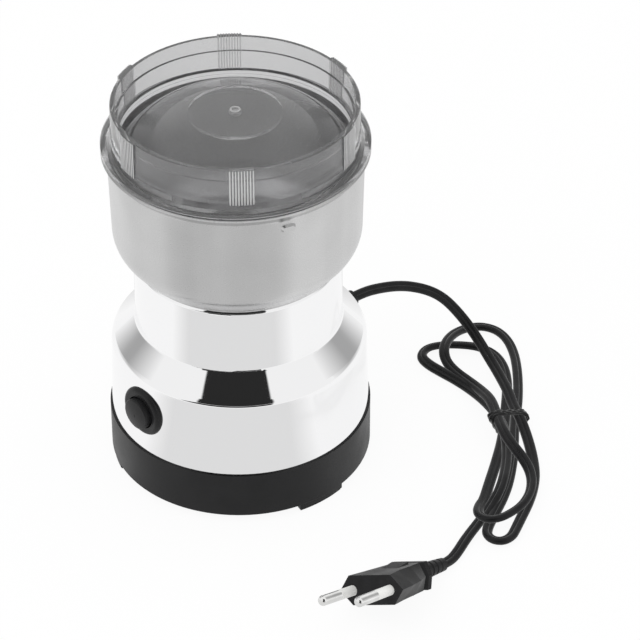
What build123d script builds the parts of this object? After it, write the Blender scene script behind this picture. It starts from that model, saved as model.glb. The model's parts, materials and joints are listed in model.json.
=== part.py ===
from build123d import *

import os
from math import cos, degrees, pi, radians, sin, tan

# Electric spice grinder with a lift-off bowl and a clear lid that is domed inside its rim.
# Millimetres, +Z up. The origin is on the motor's axis, at the surface that the grinder stands on.

os.makedirs("parts", exist_ok=True)

# --- housing and base -------------------------------------------------------------------------
SHEET = 1.0  # steel of the motor housing
HOUSING_RADIUS = 51.0  # at its lower edge
HOUSING_TAPER = 1.0  # in radius, up to the shoulder
NECK_RADIUS = 40.2
NECK_TAPER = 0.4
NECK_FOOT_RISE = 9.7  # above the shoulder
NECK_LIP = 2.6  # turned in at the neck's top
SEAM_HEIGHT = 23.0
SEAM_GAP = 0.05
HOUSING_RISE = 32.6  # from the seam to the shoulder
SHOULDER_ROUNDING = 5.0
NECK_ROUNDING = 1.5
LIP_ROUNDING = 2.2

SKIRT_PROUD = 0.7  # of the base cover beyond the housing
SKIRT_WALL = 2.7
SKIRT_BOTTOM = 3.15
SKIRT_CHAMFER = (0.4, 0.5)
FLOOR_THICKNESS = 2.5
LIP_HEIGHT = 4.0  # upstand that locates the housing
LIP_WALL = 1.4
LIP_GAP = 0.25
PAD_THICKNESS = 0.8
PAD_MARGIN = 0.4
TAB_ANGLES = (-50.0, 70.0, 190.0)
TAB_SPAN = 24.0
TAB_WIDTH = 6.0
TAB_INSET = 0.6
TAB_ROOT = 1.0
VENT_COUNT = 12
VENT_RADIUS = 26.0
VENT_LENGTH = 12.0
VENT_WIDTH = 2.2

# --- seat of the bowl, in the neck ------------------------------------------------------------
SEAT_GAP = 0.1  # between the seat's ring and the housing's neck
SEAT_LIP_GAP = 0.05  # under the neck's lip
SEAT_CHAMFER = 1.3
SEAT_WALL = 2.2
SEAT_PLATE = 2.5
SEAT_RING = 10.65  # height of the ring above the plate
SEAT_BORE = 10.5
PILLAR_LENGTH = 3.0
COLUMN_RADIUS = 3.4
COLUMN_INSET = 0.5  # from the ring's outside
COLUMN_BOSS = 2.35  # height of its boss on the floor
COLUMN_BOSS_WALL = 0.8
COLUMN_COUNT = 3  # the first towards the cord's exit
KEY_WIDTH = 3.0
KEY_DEPTH = 1.9
KEY_ROOT = 0.6
KEY_HEIGHT = 9.0
KEY_COUNT = 3
KEY_START = 60.0
SCREW_RADIUS = 1.5
SCREW_HEAD_RADIUS = 3.0
SCREW_HEAD = 1.8
SCREW_BITE = 10.0
SCREW_CLEARANCE = 0.2
SCREW_CROSS = 0.7

# --- bowl -------------------------------------------------------------------------------------
BOWL_SHEET = 0.9
BOWL_GAP = 0.4  # above the neck
BOWL_HEIGHT = 47.8
BOWL_FOOT_PROUD = 0.2  # beyond the neck
BOWL_CORNER_RISE = 8.7
BOWL_TAPER = 0.82
RIM_FLARE = 2.28
RIM_FLARE_HEIGHT = 2.9
BOWL_FOOT_ROUNDING = 2.5
BOWL_CORNER_ROUNDING = 13.5
RIM_ROUNDING = 1.6
DIMPLE_ANGLES = (-65.6, 54.4, 174.4)
DIMPLE_DROP = 6.6  # below the rim
DIMPLE_LENGTH = 6.4
DIMPLE_WIDTH = 3.6
DIMPLE_PROUD = 1.0
SPIGOT_GAP = 0.4  # between the bowl's base and its seat
SPIGOT_WALL = 2.1
BOWL_PLATE = 2.5
KEY_CLEARANCE = 0.5

# --- lid --------------------------------------------------------------------------------------
LID_STEP = 4.2  # from the rim in to the lid's wall
LID_TAPER = 0.35
LID_RISE = 20.3  # each rise is above the bowl's rim
LID_COVE_RISE = 4.0
LID_COVE = (1.4, 1.8)
LID_WALL = 2.7
LID_CROWN_RADIUS = 17.6  # flat middle of the domed floor
LID_CROWN_RISE = 15.7
LID_GUTTER_RISE = -0.2  # lowest part of the floor, at the wall
LID_DOME_BULGE = 2.6  # of the dome's slope beyond a cone
LID_FLOOR = 2.3
LID_EDGE = 0.4
LEDGE_DEPTH = 5.8
LEDGE_WIDTH = 1.0
FLANGE_RISE = 3.3
FLANGE_EDGE = 1.6
FLANGE_UNDERCUT = 2.0
SKIRT_GAP = 0.5  # between the lid's skirt and the bowl
SKIRT_DEPTH = 8.0
LID_SKIRT_WALL = 2.0
GRIP_ANGLES = tuple(-86.0 + 60.0 * i for i in range(6))
GRIP_SPAN = 11.6
GRIP_PROUD = 0.35
GRIP_ROOT = 0.5
GRIP_RISE = 3.4
RIBS_PER_GRIP = 9
RIB_PROUD = 0.55
RIB_WIDTH = 0.55
GATE_RADIUS = 2.3  # raised ring in the middle of the crown
GATE_BORE = 1.1
GATE_PROUD = 0.7

# --- drive ------------------------------------------------------------------------------------
SHAFT_RADIUS = 2.5
RUNNING_FIT = 0.05
THRUST_GAP = 0.2  # under the shaft's end
MOUNT_RADIUS = 11.0
MOUNT_BORE = 5.0
MOUNT_THICKNESS = 3.35
BRACKET_PLATE = 3.0
BRACKET_WALL = 1.0  # under the lower bearing, and above it
BOSS_RADIUS = 7.5
BOSS_DROP = 1.0  # of the upper boss below its plate
PLATE_ROUNDING = 3.0
BEARING_RADIUS = 6.0
BEARING_LENGTH = 6.0
BUSHING_GAP = 0.8  # to the column beside it
BUSHING_HEIGHT = 3.0
BUSHING_RADIUS = 4.0
CORE_HEIGHT = 24.0
CORE_GAP = 1.08  # to the columns
YOKE_SIDE = 4.5
YOKE_END = 4.0
POLE_DEPTH = 8.0  # from the armature to the yoke
POLE_SHOE = 2.6
POLE_ARC = 60.0
AIR_GAP = 0.6
COIL_THICKNESS = 5.0
COIL_WIDTH = 5.0
COIL_GAP = 3.5  # to the yoke's sides
COIL_OVERHANG = 4.0
COIL_ROUNDING = 2.5
SLOT_COUNT = 12
SLOT_WIDTH = 2.0
SLOT_DEPTH = 6.0
SLOT_LIP = 1.0
WINDING_OVERHANG = 3.4
WINDING_GAP = 0.6  # to the commutator
WINDING_BORE = 4.5
COMMUTATOR_RADIUS = 8.0
COMMUTATOR_GAP = 1.0  # above the card
COMMUTATOR_LENGTH = 9.0
COMMUTATOR_BARS = 12
BAR_SLIT = 0.5
BAR_SLIT_DEPTH = 1.5
BRUSH_GAP = 0.3
BRUSH_WIDTH = 5.0
BRUSH_HEIGHT = 4.0
BRUSH_LENGTH = 12.0
HOLDER_WALL = 0.8
HOLDER_HEIGHT = 8.0
HOLDER_START = 10.5
HOLDER_MARGIN = 1.5  # to the card's edge
CARD_THICKNESS = 2.0
CARD_BORE = 9.5
CARD_ROUNDING = 2.0
FAN_GAP = 1.6  # above the windings
FAN_SIDE_GAP = 1.0  # to the bracket's legs
FAN_DISC = 1.5
FAN_BLADE_HEIGHT = 4.5
FAN_BLADES = 9
FAN_BLADE_THICKNESS = 1.2
FAN_BLADE_ROOT = 0.3
FAN_HUB_RADIUS = 5.0
COUPLING_RADIUS = 9.0
COUPLING_GAP = 1.8  # above the upper boss
COUPLING_DISC = 3.0
DOG_HEIGHT = 3.4
DOG_SPAN = 48.0
DOG_INNER = 3.5
DOG_OUTER = 8.6
DOG_GAP = 0.4
BUSH_RADIUS = 6.0
BUSH_FLANGE_RADIUS = 9.0
BUSH_FLANGE = 1.5
BUSH_CHAMFER = (1.2, 0.6)
BUSH_FOOT_GAP = 0.5
SEAL_RADIUS = 4.5
SEAL_THICKNESS = 1.1
BUSH_NUT_FLATS = 17.0
BUSH_NUT = 3.0
SPACER_RADIUS = 4.5
SPACER_GAP = 0.3
SPACER_LENGTH = 2.7
BLADE_REACH = 34.0
BLADE_THICKNESS = 1.4
BLADE_ROOT = 12.0
BLADE_TIP = 8.0
BLADE_TIP_RAKE = 3.0
BLADE_PITCH = 12.0
BLADE_HUB_RADIUS = 8.0
BLADE_ARM_START = 6.0
BLADE_ANGLE = 25.0
BLADE_NUT_FLATS = 8.0
BLADE_NUT = 4.0
BLADE_NUT_CAP = 1.0
BLADE_NUT_CHAMFER = 0.8

# --- push button ------------------------------------------------------------------------------
BUTTON_RISE = 18.5  # above the seam
BUTTON_HOLE = 8.2
BEZEL_RADIUS = 10.2
BEZEL_PROUD = 1.3  # beyond the housing's wall
BEZEL_ROOT = 4.0  # each of these is inwards from that wall
BEZEL_ROUNDING = 1.8
BEZEL_SEAT_GAP = 0.05
BARREL_RADIUS = 8.0
BARREL_DEPTH = 15.7
CAP_RADIUS = 6.4
CAP_BORE = 6.8
CAP_DEPTH = 5.9
CAP_PROUD = 3.6
CAP_DOME = 0.8
CAP_ROUNDING = 0.6
STEM_RADIUS = 2.0
STEM_DEPTH = 13.0
GUIDE_DEPTH = 10.4
GUIDE_THICKNESS = 1.5
GUIDE_BORE = 2.3
REAR_BORE = 5.8
BUTTON_NUT_RADIUS = 11.0
BUTTON_NUT_DEPTH = 2.6
BUTTON_NUT = 3.2
SWITCH_GAP = 2.2  # to the motor's core
SWITCH_WIDTH = 13.0
SWITCH_HEIGHT = 9.0
SWITCH_ROUNDING = 1.0
TERMINAL_THICKNESS = 0.8
TERMINAL_WIDTH = 4.0
TERMINAL_LENGTH = 6.0
TERMINAL_PITCH = 7.8

# --- cord -------------------------------------------------------------------------------------
EXIT_ANGLE = 43.0  # from +X; the button is opposite
EXIT_RISE = 16.8  # above the seam
GLAND_HOLE = 5.0
GLAND_PROUD = 11.0  # beyond the housing's wall
GLAND_SHOULDER_PROUD = 0.3
GLAND_SHOULDER_RADIUS = 5.6
GLAND_TIP_RADIUS = 3.3
GLAND_FLANGE_RADIUS = 6.6
GLAND_FLANGE_DEPTH = 1.6  # inwards from the wall
GLAND_FLANGE = 2.5
GLAND_SLEEVE_RADIUS = 4.0
GLAND_SLEEVE_GAP = 1.4  # to the column
CORD_RADIUS = 2.3
LEAD_POINTS = (
    (53.39, 49.79, 39.8),
    (68.0, 58.5, 34.5),
    (82.0, 62.5, 26.5),
    (92.5, 60.5, 14.5),
    (100.0, 50.0, 5.5),
)
HANK_HEIGHT = 10.5
HANK_WAIST = ((100.0, 1.0), (116.5, 14.0))
HANK_WAIST_HEIGHTS = (1.0, 9.6)
TOP_LOBE = (
    (100.0, 14.0),
    (73.5, 44.0),
    (72.5, 57.0),
    (84.0, 72.0),
    (98.0, 75.5),
    (110.0, 71.0),
    (116.5, 56.0),
    (116.5, 14.0),
)
BOTTOM_LOBE = (
    (116.5, 1.0),
    (121.5, -25.0),
    (118.0, -44.0),
    (105.0, -70.0),
    (97.0, -70.0),
    (90.5, -56.0),
    (91.0, -44.0),
    (100.0, 1.0),
)
LOBE_ROUNDING = 5.0
TIE_WALL = 0.8
TIE_BREADTH = 5.5
TIE_OFFSET = 2.0  # from the waist's middle, towards the plug
TAIL_POINTS = ((104.5, -30.0, 5.0), (94.0, -56.0, 2.6))

PLUG_FACE = (50.8, -109.7, 16.0)
PLUG_HEADING = -133.0
PLUG_TILT = 17.9
PLUG_ROLL = 28.3
PLUG_SECTIONS = (  # depth behind the face, width, flat width, thickness
    (0.0, 31.0, 20.5, 11.4),
    (7.5, 28.6, 16.4, 11.4),
    (15.0, 24.0, 15.0, 11.0),
    (21.5, 17.6, 13.2, 10.8),
)
PLUG_GROOVE = (1.0, 15.6, 11.6, 9.0)  # length, width, flat width, thickness
PLUG_COLLAR = (2.0, 19.2, 16.0, 10.8)
FINGER_GRIP = (10.5, 18.5, 1.2, 8.0)  # start and end behind the face, rise, width
RELIEF_LENGTH = 18.0
RELIEF_ROOT = 3.7
RELIEF_TIP = 2.6
RELIEF_GROOVES = 5
RELIEF_GROOVE = 1.0
RELIEF_GROOVE_PITCH = 2.8
RELIEF_GROOVE_START = 3.0  # behind the collar
RELIEF_CORE = 2.4
PIN_PITCH = 18.4
PIN_CONVERGENCE = 0.7
PIN_LENGTH = 19.0
PIN_RADIUS = 2.0
PIN_ROUNDING = 1.4
PIN_START = 0.05
SLEEVE_LENGTH = 8.5
SLEEVE_WALL = 0.5

# --- derived heights, from the floor up -------------------------------------------------------
shoulder_height = SEAM_HEIGHT + HOUSING_RISE
neck_foot_height = shoulder_height + NECK_FOOT_RISE
button_height = SEAM_HEIGHT + BUTTON_RISE
exit_height = SEAM_HEIGHT + EXIT_RISE

floor_top = SKIRT_BOTTOM + FLOOR_THICKNESS
column_foot = floor_top + COLUMN_BOSS
bracket_foot = floor_top + MOUNT_THICKNESS
bearing_foot = bracket_foot + BRACKET_WALL
lower_boss_top = bearing_foot + BEARING_LENGTH + BRACKET_WALL
card_foot = lower_boss_top
holder_foot = card_foot + CARD_THICKNESS
brush_centre = holder_foot + HOLDER_HEIGHT / 2
commutator_foot = holder_foot + COMMUTATOR_GAP
core_foot = commutator_foot + COMMUTATOR_LENGTH + WINDING_GAP + WINDING_OVERHANG
core_top = core_foot + CORE_HEIGHT
fan_foot = core_top + WINDING_OVERHANG + FAN_GAP
upper_boss_foot = fan_foot + FAN_DISC + FAN_BLADE_HEIGHT + BRACKET_WALL
upper_plate_foot = upper_boss_foot + BOSS_DROP
bushing_foot = upper_plate_foot + BRACKET_PLATE
pillar_foot = bushing_foot + BUSHING_HEIGHT
seat_plate_foot = pillar_foot + PILLAR_LENGTH
seat_top = seat_plate_foot + SEAT_PLATE
neck_height = seat_top + SEAT_RING + SEAT_LIP_GAP + SHEET

coupling_foot = upper_boss_foot + BEARING_LENGTH + COUPLING_GAP
drive_disc_top = coupling_foot + COUPLING_DISC
driven_foot = drive_disc_top + DOG_HEIGHT + DOG_GAP
driven_top = driven_foot + COUPLING_DISC
bowl_floor_foot = neck_height + BOWL_GAP
bowl_floor_top = bowl_floor_foot + BOWL_SHEET
bowl_plate_foot = bowl_floor_foot - BOWL_PLATE
bush_foot = driven_top + BUSH_FOOT_GAP
bush_top = bowl_floor_top + BUSH_FLANGE
spacer_foot = bush_top + SPACER_GAP
blade_foot = spacer_foot + SPACER_LENGTH
blade_top = blade_foot + BLADE_THICKNESS
rim_height = bowl_floor_foot + BOWL_HEIGHT
dimple_height = rim_height - DIMPLE_DROP
lid_top = rim_height + LID_RISE
lid_cove_height = rim_height + LID_COVE_RISE
lid_crown_top = rim_height + LID_CROWN_RISE
lid_gutter_height = rim_height + LID_GUTTER_RISE
flange_top = rim_height + FLANGE_RISE
flange_foot = flange_top - FLANGE_EDGE

# --- derived radii and widths -----------------------------------------------------------------
shoulder_radius = HOUSING_RADIUS - HOUSING_TAPER
housing_slope = HOUSING_TAPER / HOUSING_RISE
neck_foot_radius = NECK_RADIUS + NECK_TAPER
skirt_radius = HOUSING_RADIUS + SKIRT_PROUD
lip_radius = HOUSING_RADIUS - SHEET - housing_slope * LIP_HEIGHT - LIP_GAP
seat_radius = NECK_RADIUS - SHEET - SEAT_GAP
spigot_radius = seat_radius - SEAT_WALL - SPIGOT_GAP
rim_radius = HOUSING_RADIUS
bowl_neck_radius = rim_radius - RIM_FLARE
bowl_corner_radius = bowl_neck_radius - BOWL_TAPER
bowl_foot_radius = NECK_RADIUS + BOWL_FOOT_PROUD
lid_radius = rim_radius - LID_STEP
lid_foot_radius = lid_radius + LID_TAPER
lid_skirt_radius = bowl_neck_radius - BOWL_SHEET - SKIRT_GAP
lid_gutter_radius = lid_radius - LID_WALL

column_circle = seat_radius - COLUMN_RADIUS - COLUMN_INSET
bushing_circle = column_circle - COLUMN_RADIUS - BUSHING_RADIUS - BUSHING_GAP
core_width = 2 * (bushing_circle - SCREW_HEAD_RADIUS - BRACKET_WALL)
core_length = 2 * (column_circle * sin(radians(60)) - COLUMN_RADIUS - CORE_GAP)
leg_centre = core_width / 2 - YOKE_SIDE / 2
fan_radius = core_width / 2 - YOKE_SIDE - FAN_SIDE_GAP
armature_radius = core_length / 2 - YOKE_END - POLE_DEPTH
pole_bore = armature_radius + AIR_GAP
pole_neck = core_width - 2 * (YOKE_SIDE + COIL_WIDTH + COIL_GAP)
holder_length = core_length / 2 - HOLDER_START - HOLDER_MARGIN

# --- derived places along the button's axis and the cord's ------------------------------------
button_wall = HOUSING_RADIUS - housing_slope * BUTTON_RISE
bezel_back = button_wall - BEZEL_ROOT
bezel_front = button_wall + BEZEL_PROUD
barrel_back = button_wall - BARREL_DEPTH
guide_front = button_wall - GUIDE_DEPTH
cap_back = button_wall - CAP_DEPTH
cap_front = button_wall + CAP_PROUD
stem_back = button_wall - STEM_DEPTH
button_nut_front = button_wall - BUTTON_NUT_DEPTH
switch_back = core_width / 2 + SWITCH_GAP
switch_depth = barrel_back - switch_back

cord_wall = HOUSING_RADIUS - housing_slope * EXIT_RISE
gland_tip_reach = cord_wall + GLAND_PROUD
gland_shoulder = cord_wall + GLAND_SHOULDER_PROUD
gland_flange_front = cord_wall - GLAND_FLANGE_DEPTH
gland_flange_back = gland_flange_front - GLAND_FLANGE
gland_sleeve_back = column_circle + COLUMN_RADIUS + GLAND_SLEEVE_GAP

motor_plane = Plane.XY.rotated((0, 0, EXIT_ANGLE))  # local +X points at the cord's exit
outward_cord = Vector(cos(radians(EXIT_ANGLE)), sin(radians(EXIT_ANGLE)), 0)
cord_plane = Plane(origin=(0, 0, exit_height), x_dir=(0, 0, 1), z_dir=outward_cord)
button_plane = Plane(origin=(0, 0, button_height), x_dir=(0, 0, 1), z_dir=-outward_cord)


# --- helpers ----------------------------------------------------------------------------------
def inset(points, depth):
    """Corners of a run of lines moved to its left by depth."""
    corners = [Vector(*point) for point in points]
    steps = [(b - a).normalized() for a, b in zip(corners, corners[1:])]
    normals = [Vector(-step.Y, step.X) for step in steps]
    moved = [corners[0] + normals[0] * depth]
    for corner, left, right in zip(corners[1:-1], normals, normals[1:]):
        moved.append(corner + (left + right) * (depth / (1 + left.dot(right))))
    moved.append(corners[-1] + normals[-1] * depth)
    return moved


def inset_radii(points, radii, depth):
    """Corner radii of the inset copy: smaller where the run turns left, larger where it turns right."""
    corners = [Vector(*point) for point in points]
    steps = [b - a for a, b in zip(corners, corners[1:])]
    turns = [a.X * b.Y - a.Y * b.X for a, b in zip(steps, steps[1:])]
    return [radius - depth if turn > 0 else radius + depth for radius, turn in zip(radii, turns)]


def sheet_section(points, radii, depth):
    """Section of a formed sheet, from its outer corners and their radii."""
    with BuildSketch(Plane.XZ) as section:
        with BuildLine():
            outer = FilletPolyline(*points, radius=radii)
            inner = FilletPolyline(*inset(points, depth), radius=inset_radii(points, radii, depth))
            Line(outer @ 0, inner @ 0)
            Line(outer @ 1, inner @ 1)
        make_face()
    return section.sketch


def ring_section(*corners):
    """Section of a turned piece, from its corners."""
    with BuildSketch(Plane.XZ) as section:
        Polygon(*corners, align=None)
    return section.sketch


def box_section(inner, outer, low, high):
    """Section of a plain ring between two radii and two heights."""
    return ring_section((inner, low), (outer, low), (outer, high), (inner, high))


def sector(inner, outer, span):
    """Flat sector of a ring, centred on the local X axis."""
    with BuildSketch() as shape:
        with BuildLine():
            far = CenterArc((0, 0), outer, -span / 2, span)
            near = CenterArc((0, 0), inner, -span / 2, span)
            Line(far @ 0, near @ 0)
            Line(far @ 1, near @ 1)
        make_face()
    return shape.sketch


def corner_radii(points):
    """Largest arcs that each corner's two runs leave room for."""
    corners = [Vector(*point) for point in points]
    radii = []
    for before, corner, after in zip(corners, corners[1:], corners[2:]):
        first, second = corner - before, after - corner
        half_turn = radians(first.get_angle(second)) / 2
        radii.append(0.45 * min(first.length, second.length) / tan(half_turn))
    return radii


def report_cord(name, tube, line, radii):
    """Print the bends of a cord, and its volume against its section times its length."""
    expected = pi * CORD_RADIUS**2 * line.length
    print(name, "bend radii", [round(radius, 1) for radius in radii])
    print(name, "length", round(line.length, 1), "volume ratio", round(tube.volume / expected, 4))


# --- base -------------------------------------------------------------------------------------
housing_corners = (
    (HOUSING_RADIUS, SEAM_HEIGHT),
    (shoulder_radius, shoulder_height),
    (neck_foot_radius, neck_foot_height),
    (NECK_RADIUS, neck_height),
    (NECK_RADIUS - NECK_LIP, neck_height),
)
housing_rounding = (SHOULDER_ROUNDING, NECK_ROUNDING, LIP_ROUNDING)

with BuildPart() as motor_housing:
    add(sheet_section(housing_corners, housing_rounding, SHEET))
    revolve(axis=Axis.Z)
    with BuildSketch(button_plane):
        Circle(BUTTON_HOLE)
    extrude(amount=bezel_front + BEZEL_RADIUS, mode=Mode.SUBTRACT)
    with BuildSketch(cord_plane):
        Circle(GLAND_HOLE)
    extrude(amount=gland_tip_reach, mode=Mode.SUBTRACT)
motor_housing.part.label = "motor_housing"
export_step(motor_housing.part, "parts/motor_housing.step")

tab_shape = sector(skirt_radius - TAB_WIDTH, skirt_radius - TAB_INSET, TAB_SPAN)
pad_shape = sector(
    skirt_radius - TAB_WIDTH + PAD_MARGIN,
    skirt_radius - TAB_INSET - PAD_MARGIN,
    TAB_SPAN - degrees(2 * PAD_MARGIN / skirt_radius),
)
skirt_foot_inset, skirt_foot_rise = SKIRT_CHAMFER

with BuildPart() as base_cover:
    with BuildSketch(Plane.XZ):
        Polygon(
            (0, SKIRT_BOTTOM),
            (skirt_radius - skirt_foot_inset, SKIRT_BOTTOM),
            (skirt_radius, SKIRT_BOTTOM + skirt_foot_rise),
            (skirt_radius, SEAM_HEIGHT - SEAM_GAP),
            (lip_radius, SEAM_HEIGHT - SEAM_GAP),
            (lip_radius, SEAM_HEIGHT + LIP_HEIGHT),
            (lip_radius - LIP_WALL, SEAM_HEIGHT + LIP_HEIGHT),
            (lip_radius - LIP_WALL, SEAM_HEIGHT - LIP_WALL),
            (skirt_radius - SKIRT_WALL, SEAM_HEIGHT - 2 * LIP_WALL),
            (skirt_radius - SKIRT_WALL, floor_top),
            (0, floor_top),
            align=None,
        )
    revolve(axis=Axis.Z)
    with BuildSketch(Plane.XY.offset(floor_top)):
        with PolarLocations(column_circle, COLUMN_COUNT, start_angle=EXIT_ANGLE):
            Circle(COLUMN_RADIUS + COLUMN_BOSS_WALL)
        Circle(MOUNT_RADIUS + LIP_WALL)
        Circle(MOUNT_RADIUS, mode=Mode.SUBTRACT)
    extrude(amount=column_foot - floor_top)
    for angle in TAB_ANGLES:
        with BuildSketch(Plane.XY.offset(PAD_THICKNESS).rotated((0, 0, angle))):
            add(tab_shape)
        extrude(amount=SKIRT_BOTTOM - PAD_THICKNESS + TAB_ROOT)
    with BuildSketch(Plane.XY.offset(SKIRT_BOTTOM)):
        with PolarLocations(VENT_RADIUS, VENT_COUNT):
            SlotOverall(VENT_LENGTH, VENT_WIDTH)
    extrude(amount=FLOOR_THICKNESS, mode=Mode.SUBTRACT)
    with PolarLocations(column_circle, COLUMN_COUNT, start_angle=EXIT_ANGLE):
        with Locations((0, 0, SKIRT_BOTTOM)):
            Cylinder(
                SCREW_HEAD_RADIUS + SCREW_CLEARANCE,
                SCREW_HEAD + SCREW_CLEARANCE,
                align=(Align.CENTER, Align.CENTER, Align.MIN),
                mode=Mode.SUBTRACT,
            )
            Cylinder(
                SCREW_RADIUS + SCREW_CLEARANCE,
                column_foot,
                align=(Align.CENTER, Align.CENTER, Align.MIN),
                mode=Mode.SUBTRACT,
            )
base_cover.part.label = "base_cover"
export_step(base_cover.part, "parts/base_cover.step")

with BuildPart() as foot_pads:
    for angle in TAB_ANGLES:
        with BuildSketch(Plane.XY.rotated((0, 0, angle))):
            add(pad_shape)
        extrude(amount=PAD_THICKNESS)
foot_pads.part.label = "foot_pads"
export_step(foot_pads.part, "parts/foot_pads.step")

screw_head_foot = SKIRT_BOTTOM + SCREW_CLEARANCE
with BuildPart() as base_screws:
    with BuildSketch(Plane.XY.offset(screw_head_foot)):
        with PolarLocations(column_circle, COLUMN_COUNT, start_angle=EXIT_ANGLE):
            Circle(SCREW_HEAD_RADIUS)
    extrude(amount=SCREW_HEAD)
    with BuildSketch(Plane.XY.offset(screw_head_foot)):
        with PolarLocations(column_circle, COLUMN_COUNT, start_angle=EXIT_ANGLE):
            Circle(SCREW_RADIUS)
    extrude(amount=column_foot + SCREW_BITE - screw_head_foot)
    with BuildSketch(Plane.XY.offset(screw_head_foot)):
        with PolarLocations(column_circle, COLUMN_COUNT, start_angle=EXIT_ANGLE):
            Rectangle(SCREW_HEAD_RADIUS, SCREW_CROSS)
            Rectangle(SCREW_CROSS, SCREW_HEAD_RADIUS)
    extrude(amount=SCREW_HEAD / 2, mode=Mode.SUBTRACT)
base_screws.part.label = "base_screws"
export_step(base_screws.part, "parts/base_screws.step")

# --- seat of the bowl -------------------------------------------------------------------------
seat_ring_top = seat_top + SEAT_RING
with BuildPart() as bowl_seat:
    add(
        ring_section(
            (SEAT_BORE, seat_plate_foot),
            (seat_radius, seat_plate_foot),
            (seat_radius, seat_ring_top - SEAT_CHAMFER),
            (seat_radius - SEAT_CHAMFER, seat_ring_top),
            (seat_radius - SEAT_WALL, seat_ring_top),
            (seat_radius - SEAT_WALL, seat_top),
            (SEAT_BORE, seat_top),
        )
    )
    revolve(axis=Axis.Z)
    with BuildSketch(Plane.XY.offset(column_foot)):
        with PolarLocations(column_circle, COLUMN_COUNT, start_angle=EXIT_ANGLE):
            Circle(COLUMN_RADIUS)
    extrude(amount=seat_plate_foot - column_foot)
    with BuildSketch(Plane.XY.offset(column_foot)):
        with PolarLocations(column_circle, COLUMN_COUNT, start_angle=EXIT_ANGLE):
            Circle(SCREW_RADIUS)
    extrude(amount=SCREW_BITE, mode=Mode.SUBTRACT)
    with BuildSketch(motor_plane.offset(pillar_foot)):
        with GridLocations(2 * bushing_circle, 0, 2, 1):
            Circle(BUSHING_RADIUS)
            Circle(SCREW_RADIUS, mode=Mode.SUBTRACT)
    extrude(amount=seat_plate_foot - pillar_foot)
    key_centre = seat_radius - SEAT_WALL - KEY_DEPTH / 2
    with BuildSketch(Plane.XY.offset(seat_top)):
        with PolarLocations(key_centre + KEY_ROOT / 2, KEY_COUNT, start_angle=EXIT_ANGLE + KEY_START):
            Rectangle(KEY_DEPTH + KEY_ROOT, KEY_WIDTH)
    extrude(amount=KEY_HEIGHT)
bowl_seat.part.label = "bowl_seat"
export_step(bowl_seat.part, "parts/bowl_seat.step")

# --- bowl -------------------------------------------------------------------------------------
bowl_corners = (
    (BUSH_RADIUS, bowl_floor_foot),
    (bowl_foot_radius, bowl_floor_foot),
    (bowl_corner_radius, bowl_floor_foot + BOWL_CORNER_RISE),
    (bowl_neck_radius, rim_height - RIM_FLARE_HEIGHT),
    (rim_radius, rim_height),
)
bowl_rounding = (BOWL_FOOT_ROUNDING, BOWL_CORNER_ROUNDING, RIM_ROUNDING)

with BuildPart() as grinding_bowl:
    add(sheet_section(bowl_corners, bowl_rounding, BOWL_SHEET))
    revolve(axis=Axis.Z)
    for angle in DIMPLE_ANGLES:
        outward = Vector(cos(radians(angle)), sin(radians(angle)), 0)
        sideways = outward.cross(Vector(0, 0, 1))
        dimple_plane = Plane(origin=(0, 0, dimple_height), x_dir=sideways, z_dir=outward)
        with BuildSketch(dimple_plane.offset(bowl_neck_radius - BOWL_SHEET / 2)):
            SlotOverall(DIMPLE_LENGTH, DIMPLE_WIDTH)
        extrude(amount=BOWL_SHEET / 2 + DIMPLE_PROUD, taper=30)
grinding_bowl.part.label = "grinding_bowl"
export_step(grinding_bowl.part, "parts/grinding_bowl.step")

with BuildPart() as bowl_base:
    add(box_section(BUSH_RADIUS, spigot_radius, bowl_plate_foot, bowl_floor_foot))
    add(box_section(spigot_radius - SPIGOT_WALL, spigot_radius, seat_top, bowl_floor_foot))
    revolve(axis=Axis.Z)
    with BuildSketch(Plane.XY.offset(seat_top)):
        with PolarLocations(spigot_radius, KEY_COUNT, start_angle=EXIT_ANGLE + KEY_START):
            Rectangle(3 * SPIGOT_WALL, KEY_WIDTH + 2 * KEY_CLEARANCE)
    extrude(amount=bowl_plate_foot - seat_top, mode=Mode.SUBTRACT)
bowl_base.part.label = "bowl_base"
export_step(bowl_base.part, "parts/bowl_base.step")

# --- lid --------------------------------------------------------------------------------------
lid_skirt_foot = flange_foot - SKIRT_DEPTH
lid_skirt_bore = lid_skirt_radius - LID_SKIRT_WALL
ledge_height = lid_top - LEDGE_DEPTH
cove_inset, cove_rise = LID_COVE
grip_foot = rim_height + GRIP_RISE
grip_shape = sector(lid_radius - GRIP_ROOT, lid_radius + GRIP_PROUD, GRIP_SPAN)
rib_step = GRIP_SPAN / RIBS_PER_GRIP
rib_fan = rib_step * (RIBS_PER_GRIP - 1)

gutter = Vector(lid_gutter_radius, lid_gutter_height)
crown_edge = Vector(LID_CROWN_RADIUS, lid_crown_top)
floor_drop = Vector(0, -LID_FLOOR)
skirt_corner = Vector(lid_skirt_bore, lid_gutter_height) + floor_drop
dome_slope = crown_edge - gutter
dome_rise = Vector(dome_slope.Y, -dome_slope.X).normalized() * LID_DOME_BULGE

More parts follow.
